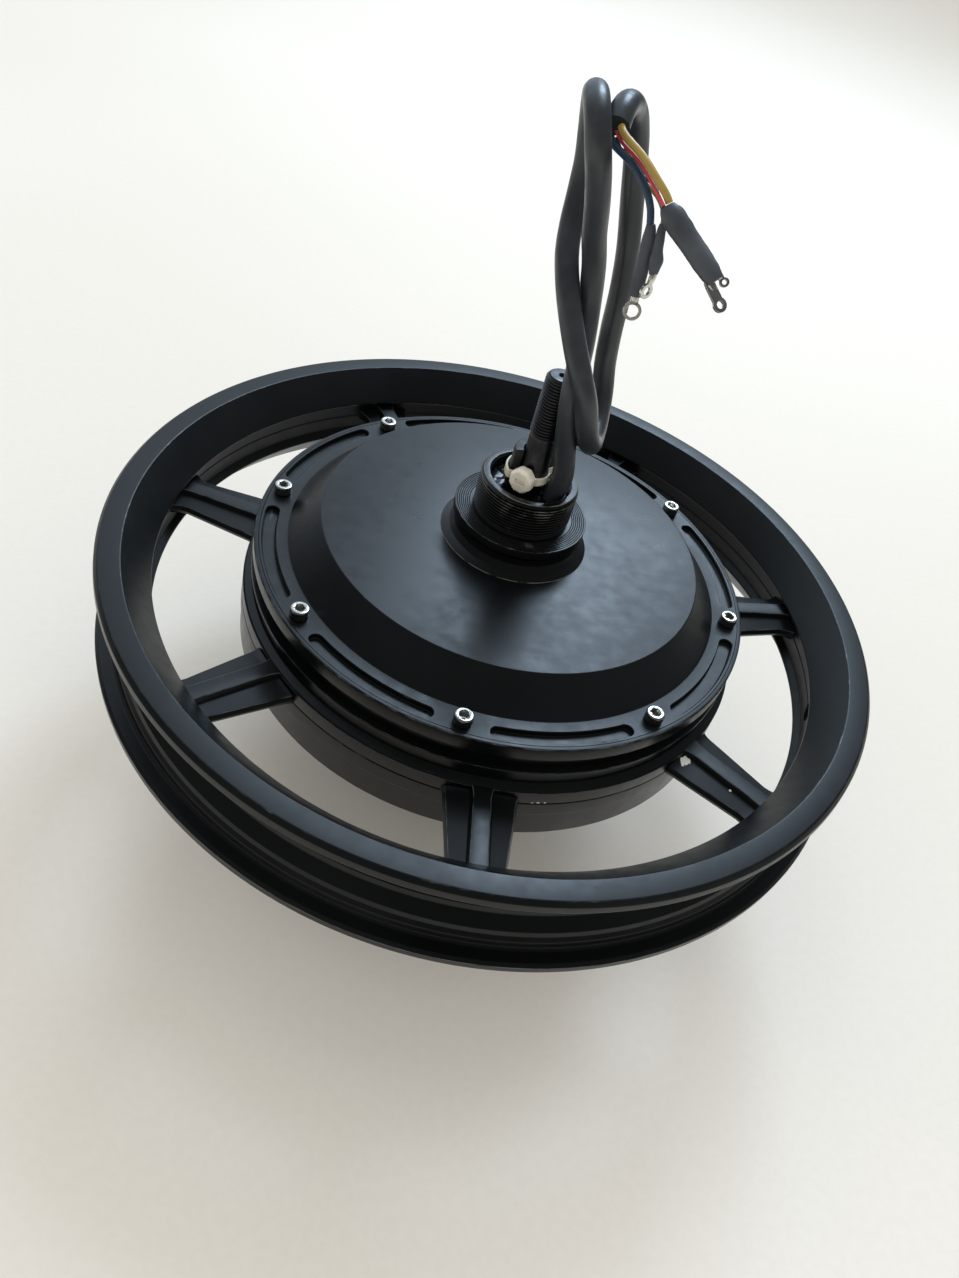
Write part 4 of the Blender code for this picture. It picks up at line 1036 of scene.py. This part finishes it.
def dress_inside():
    """The closed motor's inner nodes keep their CAD shape and get finished materials."""
    bearing = metal("bearing_steel", (0.55, 0.55, 0.56), 0.18, 0.15, (0.30, 0.26, 0.20), 0.2, True)
    finishes = {
        "flux_ring": metal("flux_steel", (0.20, 0.20, 0.21), 0.42, 0.4),
        "magnet_ring": metal("magnet_plating", (0.55, 0.55, 0.54), 0.26, 0.2),
        "stator_core": metal("lamination_edges", (0.33, 0.33, 0.33), 0.45, 0.8, turned=True),
        "stator_windings": metal("enamelled_wire", (0.55, 0.20, 0.07), 0.34, 0.9, turned=True),
        "stator_spider": metal("cast_spider", (0.52, 0.52, 0.53), 0.50, 0.6),
        "front_bearing_cage": metal("cage_brass", (0.66, 0.47, 0.19), 0.32, 0.3),
    }
    finishes["rear_bearing_cage"] = finishes["front_bearing_cage"]
    for end in ("front", "rear"):
        for ring in ("inner", "outer"):
            finishes[f"{end}_bearing_{ring}_race"] = bearing
    for name, mat in finishes.items():
        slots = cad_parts[name].data.materials
        slots.clear()
        slots.append(mat)


# ---------------------------------------------------------------- studio

TOWARDS_SKY = (-0.10, 0.80, 0.60)
FLOOR_GAP = 0.0005


def area_light(name, place, target, size, power, colour):
    data = bpy.data.lights.new(name, "AREA")
    data.shape = "RECTANGLE"
    data.size = size[0]
    data.size_y = size[1]
    data.energy = power
    data.color = colour
    light = bpy.data.objects.new(name, data)
    light.location = place
    light.rotation_mode = "QUATERNION"
    light.rotation_quaternion = (Vector(target) - Vector(place)).to_track_quat("-Z", "Y")
    bpy.context.scene.collection.objects.link(light)
    return light


def make_floor():
    f = Finish("studio_paper", (0.72, 0.69, 0.63), 0.80)
    f.set("Specular IOR Level", 0.2)
    # broad soft patches, lighter and darker over the paper: painted uneven light across the floor
    painted_light_patches = f.noise(0.9, 2.0, 0.4)
    tone = f.blend(f.span(painted_light_patches, 0.3, 0.7), (0.70, 0.665, 0.60), (0.77, 0.74, 0.685))
    fibre = f.span(f.noise(240.0, 5.0), 0.35, 0.65)
    f.drive("Base Color", f.blend(f.maths("MULTIPLY", fibre, 0.10), tone, (0.60, 0.57, 0.52)))
    f.bump(f.noise(14.0, 4.0), 0.25, 0.002)
    f.bump(f.noise(600.0, 4.0), 0.15, 0.0002)
    bm = bmesh.new()
    bmesh.ops.create_grid(bm, x_segments=8, y_segments=8, size=12.0)
    mesh = bpy.data.meshes.new("floor")
    bm.to_mesh(mesh)
    bm.free()
    mesh.materials.append(f.mat)
    floor = bpy.data.objects.new("floor", mesh)
    floor.location = (0.0, 0.0, CAD_LOW.z - FLOOR_GAP)
    bpy.context.scene.collection.objects.link(floor)


def make_world():
    """Soft room: dark in reflections but for a cool glow beyond the wheel, pale as fill light."""
    world = bpy.data.worlds.new("room")
    bpy.context.scene.world = world
    world.use_nodes = True
    nodes = world.node_tree.nodes
    links = world.node_tree.links
    back = nodes["Background"]
    coords = nodes.new("ShaderNodeTexCoord").outputs["Generated"]

    def glow(direction, low, high, colour):
        dot = nodes.new("ShaderNodeVectorMath")
        dot.operation = "DOT_PRODUCT"
        links.new(coords, dot.inputs[0])
        dot.inputs[1].default_value = Vector(direction).normalized()
        span = nodes.new("ShaderNodeMapRange")
        span.interpolation_type = "SMOOTHSTEP"
        span.inputs["From Min"].default_value = low
        span.inputs["From Max"].default_value = high
        links.new(dot.outputs["Value"], span.inputs["Value"])
        mix = nodes.new("ShaderNodeMix")
        mix.data_type = "RGBA"
        links.new(span.outputs["Result"], mix.inputs[0])
        mix.inputs[7].default_value = (*colour, 1.0)
        return mix

    beyond = glow(TOWARDS_SKY, 0.55, 1.0, (0.80, 0.95, 1.10))
    beyond.inputs[6].default_value = (0.10, 0.105, 0.11, 1.0)
    path = nodes.new("ShaderNodeLightPath")
    lit = beyond.outputs[2]
    for ray, colour in (("Is Diffuse Ray", (0.86, 0.84, 0.81)),
                        ("Is Camera Ray", (0.86, 0.85, 0.82))):
        fill = nodes.new("ShaderNodeMix")
        fill.data_type = "RGBA"
        links.new(path.outputs[ray], fill.inputs[0])
        links.new(lit, fill.inputs[6])
        fill.inputs[7].default_value = (*colour, 1.0)
        lit = fill.outputs[2]
    links.new(lit, back.inputs["Color"])
    back.inputs["Strength"].default_value = 1.0


def make_lights():
    """A warm ceiling that leaves no reflection, and a cool far window that does."""
    ceiling = area_light("ceiling_bounce", (0.15, 0.55, 2.2), (0, 0, 0), (2.0, 2.0), 12.0,
                         (1.0, 0.98, 0.95))
    ceiling.visible_glossy = False
    area_light("far_window", (0.646, 1.354, 1.609), (0, 0, 0), (0.72, 1.2), 28.0,
               (0.64, 0.81, 1.0))


make_rim()
make_drum()
make_spokes()
make_front_cover()
make_boss()
make_rear_cover()
make_screws()
make_axle()
make_boot()
make_potting()
make_tie_strap()
make_tie_head()
dress_inside()
make_floor()
make_world()
make_lights()
bpy.context.scene.view_settings.view_transform = "Standard"
